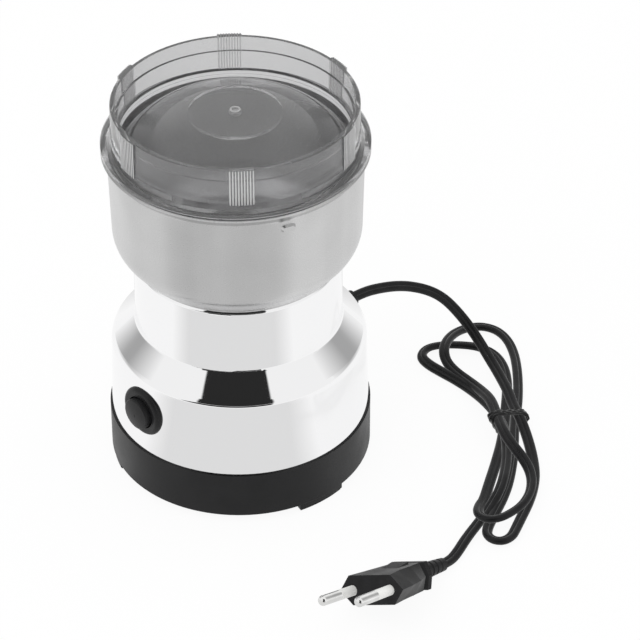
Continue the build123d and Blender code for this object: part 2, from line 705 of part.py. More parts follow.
with BuildPart() as lid:
    with BuildSketch(Plane.XZ):
        with BuildLine():
            Polyline(
                gutter,
                (lid_gutter_radius, ledge_height),
                (lid_gutter_radius + LEDGE_WIDTH, ledge_height),
                (lid_gutter_radius + LEDGE_WIDTH, lid_top),
                (lid_radius - LID_EDGE, lid_top),
                (lid_radius, lid_top - LID_EDGE),
                (lid_foot_radius, lid_cove_height + cove_rise),
                (lid_foot_radius + cove_inset, lid_cove_height),
                (rim_radius, flange_top),
                (rim_radius, flange_foot),
                (rim_radius - LID_EDGE, flange_foot),
                (lid_skirt_radius, rim_height - FLANGE_UNDERCUT),
                (lid_skirt_radius, lid_skirt_foot),
                (lid_skirt_bore, lid_skirt_foot),
                skirt_corner,
            )
            ThreePointArc(
                skirt_corner,
                (skirt_corner + crown_edge + floor_drop) / 2 + dome_rise,
                crown_edge + floor_drop,
            )
            Polyline(crown_edge + floor_drop, (0, lid_crown_top - LID_FLOOR), (0, lid_crown_top), crown_edge)
            ThreePointArc(crown_edge, (crown_edge + gutter) / 2 + dome_rise, gutter)
        make_face()
    revolve(axis=Axis.Z)
    for angle in GRIP_ANGLES:
        with BuildSketch(Plane.XY.offset(grip_foot).rotated((0, 0, angle))):
            add(grip_shape)
            with PolarLocations(
                lid_radius + GRIP_PROUD,
                RIBS_PER_GRIP,
                start_angle=-rib_fan / 2,
                angular_range=rib_fan,
                endpoint=True,
            ):
                Rectangle(2 * RIB_PROUD, RIB_WIDTH)
        extrude(amount=lid_top - grip_foot)
    with BuildSketch(Plane.XY.offset(lid_crown_top)):
        Circle(GATE_RADIUS)
        Circle(GATE_BORE, mode=Mode.SUBTRACT)
    extrude(amount=GATE_PROUD, taper=15)
lid.part.label = "lid"
export_step(lid.part, "parts/lid.step")

# --- motor, fixed pieces ----------------------------------------------------------------------
with BuildPart() as lower_mount:
    add(box_section(MOUNT_BORE, MOUNT_RADIUS, floor_top, bracket_foot))
    revolve(axis=Axis.Z)
lower_mount.part.label = "lower_mount"
export_step(lower_mount.part, "parts/lower_mount.step")

with BuildPart() as lower_bracket:
    with BuildSketch(motor_plane.offset(bracket_foot)):
        Rectangle(core_width, 2 * BOSS_RADIUS)
    extrude(amount=BRACKET_PLATE)
    with BuildSketch(motor_plane.offset(bracket_foot)):
        Circle(BOSS_RADIUS)
    extrude(amount=lower_boss_top - bracket_foot)
    with BuildSketch(motor_plane.offset(bracket_foot)):
        with GridLocations(2 * leg_centre, 0, 2, 1):
            Rectangle(YOKE_SIDE, 2 * BOSS_RADIUS)
    extrude(amount=core_foot - bracket_foot)
    with BuildSketch(motor_plane.offset(bearing_foot)):
        Circle(BEARING_RADIUS)
    extrude(amount=lower_boss_top - bearing_foot, mode=Mode.SUBTRACT)
lower_bracket.part.label = "lower_bracket"
export_step(lower_bracket.part, "parts/lower_bracket.step")

with BuildPart() as lower_bearing:
    add(box_section(SHAFT_RADIUS + RUNNING_FIT, BEARING_RADIUS, bearing_foot, bearing_foot + BEARING_LENGTH))
    revolve(axis=Axis.Z)
lower_bearing.part.label = "lower_bearing"
export_step(lower_bearing.part, "parts/lower_bearing.step")

pole_root = core_length / 2 - YOKE_END
neck_start = pole_bore + POLE_SHOE / 2
shoe_shape = sector(pole_bore, pole_bore + POLE_SHOE, 2 * POLE_ARC)

with BuildPart() as stator_core:
    with BuildSketch(motor_plane.offset(core_foot)):
        Rectangle(core_width, core_length)
        Rectangle(core_width - 2 * YOKE_SIDE, 2 * pole_root, mode=Mode.SUBTRACT)
        with PolarLocations(0, 2, start_angle=90):
            add(shoe_shape)
        with PolarLocations((neck_start + pole_root) / 2, 2, start_angle=90):
            Rectangle(pole_root - neck_start, pole_neck)
        Circle(pole_bore, mode=Mode.SUBTRACT)
    extrude(amount=CORE_HEIGHT)
stator_core.part.label = "stator_core"
export_step(stator_core.part, "parts/stator_core.step")

coil_centre = pole_root - COIL_THICKNESS / 2
with BuildPart() as field_coils:
    for side in (-1, 1):
        coil_plane = Plane(
            origin=motor_plane.from_local_coords(Vector(0, side * coil_centre, core_foot + CORE_HEIGHT / 2)),
            x_dir=motor_plane.x_dir,
            z_dir=motor_plane.y_dir,
        )
        with BuildSketch(coil_plane.offset(-COIL_THICKNESS / 2)):
            RectangleRounded(pole_neck + 2 * COIL_WIDTH, CORE_HEIGHT + 2 * COIL_OVERHANG, COIL_ROUNDING)
            Rectangle(pole_neck, CORE_HEIGHT, mode=Mode.SUBTRACT)
        extrude(amount=COIL_THICKNESS)
field_coils.part.label = "field_coils"
export_step(field_coils.part, "parts/field_coils.step")

with BuildPart() as brush_card:
    with BuildSketch(motor_plane.offset(card_foot)):
        RectangleRounded(core_width - 2 * YOKE_SIDE, core_length, CARD_ROUNDING)
        Circle(CARD_BORE, mode=Mode.SUBTRACT)
    extrude(amount=CARD_THICKNESS)
brush_card.part.label = "brush_card"
export_step(brush_card.part, "parts/brush_card.step")

with BuildPart() as brush_holders:
    for side in (-1, 1):
        outward = motor_plane.y_dir * side
        brush_plane = Plane(origin=(0, 0, brush_centre), x_dir=motor_plane.x_dir, z_dir=outward)
        with BuildSketch(brush_plane.offset(HOLDER_START)):
            Rectangle(BRUSH_WIDTH + 2 * HOLDER_WALL, HOLDER_HEIGHT)
            Rectangle(BRUSH_WIDTH, BRUSH_HEIGHT, mode=Mode.SUBTRACT)
        extrude(amount=holder_length)
        with BuildSketch(brush_plane.offset(HOLDER_START + holder_length)):
            Rectangle(BRUSH_WIDTH + 2 * HOLDER_WALL, HOLDER_HEIGHT)
        extrude(amount=HOLDER_WALL)
brush_holders.part.label = "brush_holders"
export_step(brush_holders.part, "parts/brush_holders.step")

with BuildPart() as carbon_brushes:
    for side in (-1, 1):
        brush_plane = Plane(
            origin=(0, 0, brush_centre),
            x_dir=motor_plane.x_dir,
            z_dir=motor_plane.y_dir * side,
        )
        with BuildSketch(brush_plane.offset(COMMUTATOR_RADIUS + BRUSH_GAP)):
            Rectangle(BRUSH_WIDTH, BRUSH_HEIGHT)
        extrude(amount=BRUSH_LENGTH)
carbon_brushes.part.label = "carbon_brushes"
export_step(carbon_brushes.part, "parts/carbon_brushes.step")

upper_plate_length = 2 * (bushing_circle + BUSHING_RADIUS)
with BuildPart() as upper_bracket:
    with BuildSketch(motor_plane.offset(upper_plate_foot)):
        RectangleRounded(upper_plate_length, 2 * (BOSS_RADIUS + BRACKET_WALL), PLATE_ROUNDING)
    extrude(amount=BRACKET_PLATE)
    with BuildSketch(motor_plane.offset(upper_boss_foot)):
        Circle(BOSS_RADIUS)
    extrude(amount=BEARING_LENGTH)
    with BuildSketch(motor_plane.offset(core_top)):
        with GridLocations(2 * leg_centre, 0, 2, 1):
            Rectangle(YOKE_SIDE, 2 * BOSS_RADIUS)
    extrude(amount=upper_plate_foot - core_top)
    with BuildSketch(motor_plane.offset(upper_boss_foot)):
        Circle(BEARING_RADIUS)
        with GridLocations(2 * bushing_circle, 0, 2, 1):
            Circle(SCREW_RADIUS + SCREW_CLEARANCE)
    extrude(amount=BEARING_LENGTH, mode=Mode.SUBTRACT)
upper_bracket.part.label = "upper_bracket"
export_step(upper_bracket.part, "parts/upper_bracket.step")

with BuildPart() as upper_bearing:
    add(
        box_section(
            SHAFT_RADIUS + RUNNING_FIT,
            BEARING_RADIUS,
            upper_boss_foot,
            upper_boss_foot + BEARING_LENGTH,
        )
    )
    revolve(axis=Axis.Z)
upper_bearing.part.label = "upper_bearing"
export_step(upper_bearing.part, "parts/upper_bearing.step")

with BuildPart() as mount_bushings:
    with BuildSketch(motor_plane.offset(bushing_foot)):
        with GridLocations(2 * bushing_circle, 0, 2, 1):
            Circle(BUSHING_RADIUS)
            Circle(SCREW_RADIUS + SCREW_CLEARANCE, mode=Mode.SUBTRACT)
    extrude(amount=BUSHING_HEIGHT)
mount_bushings.part.label = "mount_bushings"
export_step(mount_bushings.part, "parts/mount_bushings.step")

with BuildPart() as bracket_screws:
    with BuildSketch(motor_plane.offset(upper_plate_foot - SCREW_HEAD)):
        with GridLocations(2 * bushing_circle, 0, 2, 1):
            Circle(SCREW_HEAD_RADIUS)
    extrude(amount=SCREW_HEAD)
    with BuildSketch(motor_plane.offset(upper_plate_foot)):
        with GridLocations(2 * bushing_circle, 0, 2, 1):
            Circle(SCREW_RADIUS)
    extrude(amount=seat_plate_foot - upper_plate_foot)
bracket_screws.part.label = "bracket_screws"
export_step(bracket_screws.part, "parts/bracket_screws.step")

# --- rotor ------------------------------------------------------------------------------------
with BuildPart() as motor_shaft:
    add(box_section(0, SHAFT_RADIUS, bearing_foot + THRUST_GAP, drive_disc_top))
    revolve(axis=Axis.Z)
motor_shaft.part.label = "motor_shaft"
export_step(motor_shaft.part, "parts/motor_shaft.step")

slot_centre = armature_radius - SLOT_DEPTH / 2
with BuildPart() as armature_core:
    with BuildSketch(motor_plane.offset(core_foot)):
        Circle(armature_radius)
        Circle(SHAFT_RADIUS, mode=Mode.SUBTRACT)
        with PolarLocations(slot_centre, SLOT_COUNT):
            Rectangle(SLOT_DEPTH + SLOT_LIP, SLOT_WIDTH, mode=Mode.SUBTRACT)
    extrude(amount=CORE_HEIGHT)
armature_core.part.label = "armature_core"
export_step(armature_core.part, "parts/armature_core.step")

winding_radius = armature_radius - SLOT_LIP
with BuildPart() as armature_windings:
    with BuildSketch(motor_plane.offset(core_foot)):
        with PolarLocations(slot_centre, SLOT_COUNT):
            Rectangle(SLOT_DEPTH - SLOT_LIP, SLOT_WIDTH)
    extrude(amount=CORE_HEIGHT)
    for foot in (core_foot - WINDING_OVERHANG, core_top):
        with BuildSketch(motor_plane.offset(foot)):
            Circle(winding_radius)
            Circle(WINDING_BORE, mode=Mode.SUBTRACT)
        extrude(amount=WINDING_OVERHANG)
armature_windings.part.label = "armature_windings"
export_step(armature_windings.part, "parts/armature_windings.step")

with BuildPart() as commutator:
    with BuildSketch(motor_plane.offset(commutator_foot)):
        Circle(COMMUTATOR_RADIUS)
        Circle(SHAFT_RADIUS, mode=Mode.SUBTRACT)
        with PolarLocations(COMMUTATOR_RADIUS, COMMUTATOR_BARS):
            Rectangle(2 * BAR_SLIT_DEPTH, BAR_SLIT, mode=Mode.SUBTRACT)
    extrude(amount=COMMUTATOR_LENGTH)
commutator.part.label = "commutator"
export_step(commutator.part, "parts/commutator.step")

with BuildPart() as cooling_fan:
    with BuildSketch(motor_plane.offset(fan_foot)):
        Circle(fan_radius)
        Circle(SHAFT_RADIUS, mode=Mode.SUBTRACT)
    extrude(amount=FAN_DISC)
    blade_length = fan_radius - FAN_HUB_RADIUS
    with BuildSketch(motor_plane.offset(fan_foot + FAN_DISC)):
        Circle(FAN_HUB_RADIUS)
        with PolarLocations(FAN_HUB_RADIUS + blade_length / 2 - FAN_BLADE_ROOT, FAN_BLADES):
            Rectangle(blade_length, FAN_BLADE_THICKNESS)
        Circle(SHAFT_RADIUS, mode=Mode.SUBTRACT)
    extrude(amount=FAN_BLADE_HEIGHT)
cooling_fan.part.label = "cooling_fan"
export_step(cooling_fan.part, "parts/cooling_fan.step")

dog_shape = sector(DOG_INNER, DOG_OUTER, DOG_SPAN)
with BuildPart() as drive_coupling:
    with BuildSketch(motor_plane.offset(coupling_foot)):
        Circle(COUPLING_RADIUS)
        Circle(SHAFT_RADIUS, mode=Mode.SUBTRACT)
    extrude(amount=COUPLING_DISC)
    with BuildSketch(motor_plane.offset(drive_disc_top)):
        with PolarLocations(0, 3):
            add(dog_shape)
    extrude(amount=DOG_HEIGHT)
drive_coupling.part.label = "drive_coupling"
export_step(drive_coupling.part, "parts/drive_coupling.step")

# --- blade drive, in the bowl -----------------------------------------------------------------
with BuildPart() as driven_coupling:
    with BuildSketch(motor_plane.offset(driven_foot)):
        Circle(COUPLING_RADIUS)
        Circle(SHAFT_RADIUS, mode=Mode.SUBTRACT)
    extrude(amount=COUPLING_DISC)
    with BuildSketch(motor_plane.offset(driven_foot - DOG_HEIGHT)):
        with PolarLocations(0, 3, start_angle=60):
            add(dog_shape)
    extrude(amount=DOG_HEIGHT)
driven_coupling.part.label = "driven_coupling"
export_step(driven_coupling.part, "parts/driven_coupling.step")

with BuildPart() as blade_shaft:
    add(box_section(0, SHAFT_RADIUS, driven_foot, blade_top + BLADE_NUT - BLADE_NUT_CAP))
    revolve(axis=Axis.Z)
blade_shaft.part.label = "blade_shaft"
export_step(blade_shaft.part, "parts/blade_shaft.step")

seal_foot = bush_top - SEAL_THICKNESS
flange_chamfer_width, flange_chamfer_height = BUSH_CHAMFER
with BuildPart() as shaft_bush:
    add(
        ring_section(
            (SHAFT_RADIUS + RUNNING_FIT, bush_foot),
            (BUSH_RADIUS, bush_foot),
            (BUSH_RADIUS, bowl_floor_top),
            (BUSH_FLANGE_RADIUS, bowl_floor_top),
            (BUSH_FLANGE_RADIUS, bush_top - flange_chamfer_height),
            (BUSH_FLANGE_RADIUS - flange_chamfer_width, bush_top),
            (SEAL_RADIUS, bush_top),
            (SEAL_RADIUS, seal_foot),
            (SHAFT_RADIUS + RUNNING_FIT, seal_foot),
        )
    )
    revolve(axis=Axis.Z)
shaft_bush.part.label = "shaft_bush"
export_step(shaft_bush.part, "parts/shaft_bush.step")

with BuildPart() as shaft_seal:
    add(box_section(SHAFT_RADIUS + RUNNING_FIT, SEAL_RADIUS, seal_foot, bush_top))
    revolve(axis=Axis.Z)
shaft_seal.part.label = "shaft_seal"
export_step(shaft_seal.part, "parts/shaft_seal.step")

with BuildPart() as bush_nut:
    with BuildSketch(Plane.XY.offset(bowl_plate_foot - BUSH_NUT)):
        RegularPolygon(BUSH_NUT_FLATS / 2, 6, major_radius=False)
        Circle(BUSH_RADIUS, mode=Mode.SUBTRACT)
    extrude(amount=BUSH_NUT)
bush_nut.part.label = "bush_nut"
export_step(bush_nut.part, "parts/bush_nut.step")

with BuildPart() as blade_spacer:
    add(box_section(SHAFT_RADIUS, SPACER_RADIUS, spacer_foot, blade_foot))
    revolve(axis=Axis.Z)
blade_spacer.part.label = "blade_spacer"
export_step(blade_spacer.part, "parts/blade_spacer.step")

with BuildPart() as blade:
    with BuildSketch(Plane.XY.offset(blade_foot)):
        Circle(BLADE_HUB_RADIUS)
    extrude(amount=BLADE_THICKNESS)
    for turn in (BLADE_ANGLE, BLADE_ANGLE + 180):
        arm_plane = Plane.XY.offset(blade_foot).rotated((0, 0, turn)).rotated((BLADE_PITCH, 0, 0))
        with BuildSketch(arm_plane):
            Polygon(
                (BLADE_ARM_START, -BLADE_ROOT / 2),
                (BLADE_REACH - BLADE_TIP_RAKE, -BLADE_TIP / 2),
                (BLADE_REACH, BLADE_TIP / 8),
                (0.6 * BLADE_REACH, 0.4 * BLADE_ROOT),
                (BLADE_ARM_START, BLADE_ROOT / 2),
                align=None,
            )
        extrude(amount=BLADE_THICKNESS)
    with BuildSketch(Plane.XY.offset(spacer_foot)):
        Circle(SHAFT_RADIUS)
    extrude(amount=2 * SPACER_LENGTH, mode=Mode.SUBTRACT)
blade.part.label = "blade"
export_step(blade.part, "parts/blade.step")

with BuildPart() as blade_nut:
    with BuildSketch(Plane.XY.offset(blade_top)):
        RegularPolygon(BLADE_NUT_FLATS / 2, 6, major_radius=False)
    extrude(amount=BLADE_NUT)
    chamfer(blade_nut.faces().sort_by(Axis.Z)[-1].edges(), BLADE_NUT_CHAMFER)
    with Locations((0, 0, blade_top)):
        Cylinder(
            SHAFT_RADIUS,
            BLADE_NUT - BLADE_NUT_CAP,
            align=(Align.CENTER, Align.CENTER, Align.MIN),
            mode=Mode.SUBTRACT,
        )
blade_nut.part.label = "blade_nut"
export_step(blade_nut.part, "parts/blade_nut.step")

# --- push button ------------------------------------------------------------------------------
button_axis = Axis(button_plane.origin, button_plane.z_dir)
turned_plane = Plane(origin=button_plane.origin, x_dir=button_plane.z_dir, z_dir=button_plane.y_dir)
dome_radius = (CAP_RADIUS**2 + CAP_DOME**2) / (2 * CAP_DOME)

with BuildPart() as button_bezel:
    with BuildSketch(button_plane.offset(bezel_back)):
        Circle(BEZEL_RADIUS)
    extrude(amount=bezel_front - bezel_back)
    fillet(button_bezel.edges().group_by(button_axis)[-1], BEZEL_ROUNDING)
    with BuildSketch(Plane.XZ):
        Polygon(
            (0, SEAM_HEIGHT),
            (HOUSING_RADIUS + BEZEL_SEAT_GAP, SEAM_HEIGHT),
            (shoulder_radius + BEZEL_SEAT_GAP, shoulder_height),
            (0, shoulder_height),
            align=None,
        )
    revolve(axis=Axis.Z, mode=Mode.SUBTRACT)
    with BuildSketch(button_plane.offset(barrel_back)):
        Circle(BARREL_RADIUS)
    extrude(amount=bezel_front - barrel_back)
    with BuildSketch(button_plane.offset(guide_front)):
        Circle(CAP_BORE)
    extrude(amount=bezel_front - guide_front, mode=Mode.SUBTRACT)
    with BuildSketch(button_plane.offset(barrel_back)):
        Circle(REAR_BORE)
    extrude(amount=guide_front - GUIDE_THICKNESS - barrel_back, mode=Mode.SUBTRACT)
    with BuildSketch(button_plane.offset(barrel_back)):
        Circle(GUIDE_BORE)
    extrude(amount=guide_front - barrel_back, mode=Mode.SUBTRACT)
button_bezel.part.label = "button_bezel"
export_step(button_bezel.part, "parts/button_bezel.step")

with BuildPart() as button_nut:
    with BuildSketch(button_plane.offset(button_nut_front - BUTTON_NUT)):
        RegularPolygon(BUTTON_NUT_RADIUS, 12)
        Circle(BARREL_RADIUS, mode=Mode.SUBTRACT)
    extrude(amount=BUTTON_NUT)
button_nut.part.label = "button_nut"
export_step(button_nut.part, "parts/button_nut.step")

with BuildPart() as button_cap:
    with BuildSketch(turned_plane):
        with BuildLine():
            Polyline(
                (cap_front + CAP_DOME, 0),
                (stem_back, 0),
                (stem_back, STEM_RADIUS),
                (cap_back, STEM_RADIUS),
                (cap_back, CAP_RADIUS),
                (cap_front, CAP_RADIUS),
            )
            RadiusArc((cap_front, CAP_RADIUS), (cap_front + CAP_DOME, 0), dome_radius)
        make_face()
    revolve(axis=button_axis)
    cap_rims = button_cap.edges().filter_by(lambda edge: edge.is_closed)
    fillet(cap_rims.sort_by(button_axis)[-1], CAP_ROUNDING)
button_cap.part.label = "button_cap"
export_step(button_cap.part, "parts/button_cap.step")

with BuildPart() as switch_body:
    with BuildSketch(button_plane.offset(switch_back)):
        RectangleRounded(SWITCH_HEIGHT, SWITCH_WIDTH, SWITCH_ROUNDING)
    extrude(amount=switch_depth)
switch_body.part.label = "switch_body"
export_step(switch_body.part, "parts/switch_body.step")

with BuildPart() as switch_terminals:
    terminal_plane = Plane(
        origin=button_plane.from_local_coords(Vector(SWITCH_HEIGHT / 2, 0, switch_back + switch_depth / 2)),
        x_dir=button_plane.y_dir,
        z_dir=button_plane.x_dir,
    )
    with BuildSketch(terminal_plane):
        with GridLocations(TERMINAL_PITCH, 0, 2, 1):
            Rectangle(TERMINAL_THICKNESS, TERMINAL_WIDTH)
    extrude(amount=TERMINAL_LENGTH)
switch_terminals.part.label = "switch_terminals"
export_step(switch_terminals.part, "parts/switch_terminals.step")

# --- cord -------------------------------------------------------------------------------------
with BuildPart() as cord_gland:
    with BuildSketch(cord_plane.offset(gland_flange_back)):
        Circle(GLAND_FLANGE_RADIUS)
    extrude(amount=gland_flange_front - gland_flange_back)
    with BuildSketch(cord_plane.offset(gland_sleeve_back)):
        Circle(GLAND_SLEEVE_RADIUS)
    extrude(amount=gland_flange_back - gland_sleeve_back)
    with BuildSketch(cord_plane.offset(gland_flange_back)):
        Circle(GLAND_HOLE - LIP_GAP / 2)
    extrude(amount=gland_shoulder - gland_flange_back)
    with BuildSketch(cord_plane.offset(gland_shoulder)):
        Circle(GLAND_SHOULDER_RADIUS)
    with BuildSketch(cord_plane.offset(gland_tip_reach)):
        Circle(GLAND_TIP_RADIUS)
    loft()
cord_gland.part.label = "cord_gland"
export_step(cord_gland.part, "parts/cord_gland.step")

gland_tip = cord_plane.from_local_coords(Vector(0, 0, gland_tip_reach))
lead_route = [gland_tip, *LEAD_POINTS]
lead_radii = corner_radii(lead_route)
with BuildPart() as cord_lead:
    with BuildLine() as lead_line:
        FilletPolyline(*lead_route, radius=lead_radii)
    lead_path = lead_line.wire()
    with BuildSketch(Plane(origin=lead_path @ 0, z_dir=lead_path % 0)):
        Circle(CORD_RADIUS)
    sweep(path=lead_path)
cord_lead.part.label = "cord_lead"
report_cord("cord_lead", cord_lead.part, lead_path, lead_radii)
export_step(cord_lead.part, "parts/cord_lead.step")

(waist_left, waist_front), (waist_right, waist_back) = HANK_WAIST
waist_foot, waist_top = HANK_WAIST_HEIGHTS
waist_centre = ((waist_left + waist_right) / 2, (waist_front + waist_back) / 2)
waist_width = waist_right - waist_left
with BuildPart() as cord_hank:
    for lobe in (TOP_LOBE, BOTTOM_LOBE):
        with BuildSketch() as lobe_shape:
            Polygon(*lobe, align=None)
            fillet(lobe_shape.vertices(), LOBE_ROUNDING)
        extrude(amount=HANK_HEIGHT)
    with BuildSketch(Plane.XY.offset(waist_foot)):
        with Locations(waist_centre):
            Rectangle(waist_width, waist_back - waist_front + 2 * LOBE_ROUNDING)
    extrude(amount=waist_top - waist_foot)
cord_hank.part.label = "cord_hank"
export_step(cord_hank.part, "parts/cord_hank.step")

tie_centre = (waist_centre[0], waist_centre[1] - TIE_OFFSET)
with BuildPart() as cord_tie:
    with BuildSketch(Plane.XY.offset(waist_foot - TIE_WALL)):
        with Locations(tie_centre):
            Rectangle(waist_width + 2 * TIE_WALL, TIE_BREADTH)
    extrude(amount=waist_top - waist_foot + 2 * TIE_WALL)
    with BuildSketch(Plane.XY.offset(waist_foot)):
        with Locations(tie_centre):
            Rectangle(waist_width, TIE_BREADTH)
    extrude(amount=waist_top - waist_foot, mode=Mode.SUBTRACT)
cord_tie.part.label = "cord_tie"
export_step(cord_tie.part, "parts/cord_tie.step")

# --- plug -------------------------------------------------------------------------------------
tilt, heading, roll = radians(PLUG_TILT), radians(PLUG_HEADING), radians(PLUG_ROLL)
ahead = Vector(cos(tilt) * cos(heading), cos(tilt) * sin(heading), sin(tilt))
level = Vector(-sin(heading), cos(heading), 0)
across = level * cos(roll) + ahead.cross(level) * sin(roll)
plug_plane = Plane(origin=PLUG_FACE, x_dir=across, z_dir=ahead)
plug_side = Plane(origin=PLUG_FACE, x_dir=-ahead, z_dir=across)  # local +X is depth behind the face
plug_back = PLUG_SECTIONS[-1][0]
plug_half = PLUG_SECTIONS[-1][3] / 2
groove_length, groove_width, groove_flat, groove_thickness = PLUG_GROOVE
collar_length, collar_width, collar_flat, collar_thickness = PLUG_COLLAR
body_length = plug_back + groove_length + collar_length
grip_start, grip_end, grip_rise, grip_width = FINGER_GRIP


def plug_section(width, flat, thickness):
    """Flat hexagon across the plug."""
    with BuildSketch() as section:
        Polygon(
            (-width / 2, 0),
            (-flat / 2, -thickness / 2),
            (flat / 2, -thickness / 2),
            (width / 2, 0),
            (flat / 2, thickness / 2),
            (-flat / 2, thickness / 2),
            align=None,
        )
    return section.sketch


with BuildPart() as plug_body:
    for depth, width, flat, thickness in PLUG_SECTIONS:
        with BuildSketch(plug_plane.offset(-depth)):
            add(plug_section(width, flat, thickness))
    loft(ruled=True)
    with BuildSketch(plug_plane.offset(-plug_back - groove_length)):
        add(plug_section(groove_width, groove_flat, groove_thickness))
    extrude(amount=groove_length)
    with BuildSketch(plug_plane.offset(-body_length)):
        add(plug_section(collar_width, collar_flat, collar_thickness))
    extrude(amount=collar_length)
    with BuildSketch(plug_side):
        for side in (-1, 1):
            Polygon(
                (grip_start, side * (plug_half - grip_rise)),
                (grip_start, side * plug_half),
                (grip_end, side * (plug_half + grip_rise)),
                (grip_end, side * (plug_half - grip_rise)),
                align=None,
            )
    extrude(amount=grip_width / 2, both=True)
    with BuildSketch(plug_plane.offset(-body_length)):
        Circle(RELIEF_ROOT)
    with BuildSketch(plug_plane.offset(-body_length - RELIEF_LENGTH)):
        Circle(RELIEF_TIP)
    loft()
    for groove in range(RELIEF_GROOVES):
        groove_start = RELIEF_GROOVE_START + groove * RELIEF_GROOVE_PITCH
        with BuildSketch(plug_plane.offset(-body_length - groove_start)):
            Circle(RELIEF_ROOT)
            Circle(RELIEF_CORE, mode=Mode.SUBTRACT)
        extrude(amount=-RELIEF_GROOVE, mode=Mode.SUBTRACT)
plug_body.part.label = "plug_body"
export_step(plug_body.part, "parts/plug_body.step")

pin_lean = degrees(PIN_CONVERGENCE / PIN_LENGTH)
pin_planes = [
    Plane(
        origin=plug_plane.from_local_coords(Vector(side * PIN_PITCH / 2, 0, 0)),
        x_dir=plug_plane.x_dir,
        z_dir=plug_plane.z_dir,
    ).rotated((0, -side * pin_lean, 0))
    for side in (-1, 1)
]

with BuildPart() as plug_pins:
    for pin_plane in pin_planes:
        with BuildSketch(pin_plane.offset(PIN_START)):
            Circle(PIN_RADIUS - SLEEVE_WALL)
        extrude(amount=SLEEVE_LENGTH)
        with BuildSketch(pin_plane.offset(SLEEVE_LENGTH)):
            Circle(PIN_RADIUS)
        extrude(amount=PIN_LENGTH - SLEEVE_LENGTH)
        pin_tip = pin_plane.offset(PIN_LENGTH).origin
        tip_face = plug_pins.faces().filter_by(GeomType.PLANE).sort_by_distance(pin_tip)[0]
        fillet(tip_face.edges(), PIN_ROUNDING)
plug_pins.part.label = "plug_pins"
export_step(plug_pins.part, "parts/plug_pins.step")

with BuildPart() as plug_sleeves:
    for pin_plane in pin_planes:
        with BuildSketch(pin_plane.offset(PIN_START)):
            Circle(PIN_RADIUS)
            Circle(PIN_RADIUS - SLEEVE_WALL, mode=Mode.SUBTRACT)
        extrude(amount=SLEEVE_LENGTH - PIN_START)
plug_sleeves.part.label = "plug_sleeves"
export_step(plug_sleeves.part, "parts/plug_sleeves.step")

relief_tip = plug_plane.from_local_coords(Vector(0, 0, -body_length - RELIEF_LENGTH))
tail_route = [*TAIL_POINTS, relief_tip]
tail_radii = corner_radii(tail_route)
with BuildPart() as cord_tail:
    with BuildLine() as tail_line:
        FilletPolyline(*tail_route, radius=tail_radii)
    tail_path = tail_line.wire()
    with BuildSketch(Plane(origin=tail_path @ 0, z_dir=tail_path % 0)):
        Circle(CORD_RADIUS)
    sweep(path=tail_path)
cord_tail.part.label = "cord_tail"
report_cord("cord_tail", cord_tail.part, tail_path, tail_radii)
export_step(cord_tail.part, "parts/cord_tail.step")
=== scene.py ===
import json
from math import cos, pi, radians, sin

import bmesh
import bpy
from mathutils import Matrix, Vector


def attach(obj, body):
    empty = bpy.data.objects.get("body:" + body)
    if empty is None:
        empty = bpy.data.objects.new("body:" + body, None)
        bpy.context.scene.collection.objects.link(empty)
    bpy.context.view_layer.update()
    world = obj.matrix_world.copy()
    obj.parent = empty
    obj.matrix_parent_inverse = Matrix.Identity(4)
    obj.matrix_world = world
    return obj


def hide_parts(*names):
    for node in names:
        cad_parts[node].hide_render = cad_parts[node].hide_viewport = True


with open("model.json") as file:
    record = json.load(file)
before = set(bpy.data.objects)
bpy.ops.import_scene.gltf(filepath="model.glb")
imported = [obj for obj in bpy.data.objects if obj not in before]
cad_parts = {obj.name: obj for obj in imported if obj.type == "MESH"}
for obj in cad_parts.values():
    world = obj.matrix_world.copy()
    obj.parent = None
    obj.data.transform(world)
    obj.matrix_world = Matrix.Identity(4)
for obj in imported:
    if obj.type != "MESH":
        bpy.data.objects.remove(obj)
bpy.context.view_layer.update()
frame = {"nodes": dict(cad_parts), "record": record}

nodes = frame["nodes"]
scene = bpy.context.scene
MM = 0.001

# --- camera -----------------------------------------------------------------------------------
CAMERA_PLACE = (0.03164, -1.0072, 0.8087)
CAMERA_PITCH = 53.364
CAMERA_LENS = 180.37

camera_data = bpy.data.cameras.new("camera")
camera_data.lens = CAMERA_LENS
camera_data.sensor_width = 36.0
camera_data.clip_end = 50.0
camera = bpy.data.objects.new("camera", camera_data)
camera.location = CAMERA_PLACE
camera.rotation_euler = (radians(CAMERA_PITCH), 0, 0)
scene.collection.objects.link(camera)
scene.camera = camera
scene.view_settings.view_transform = "Standard"


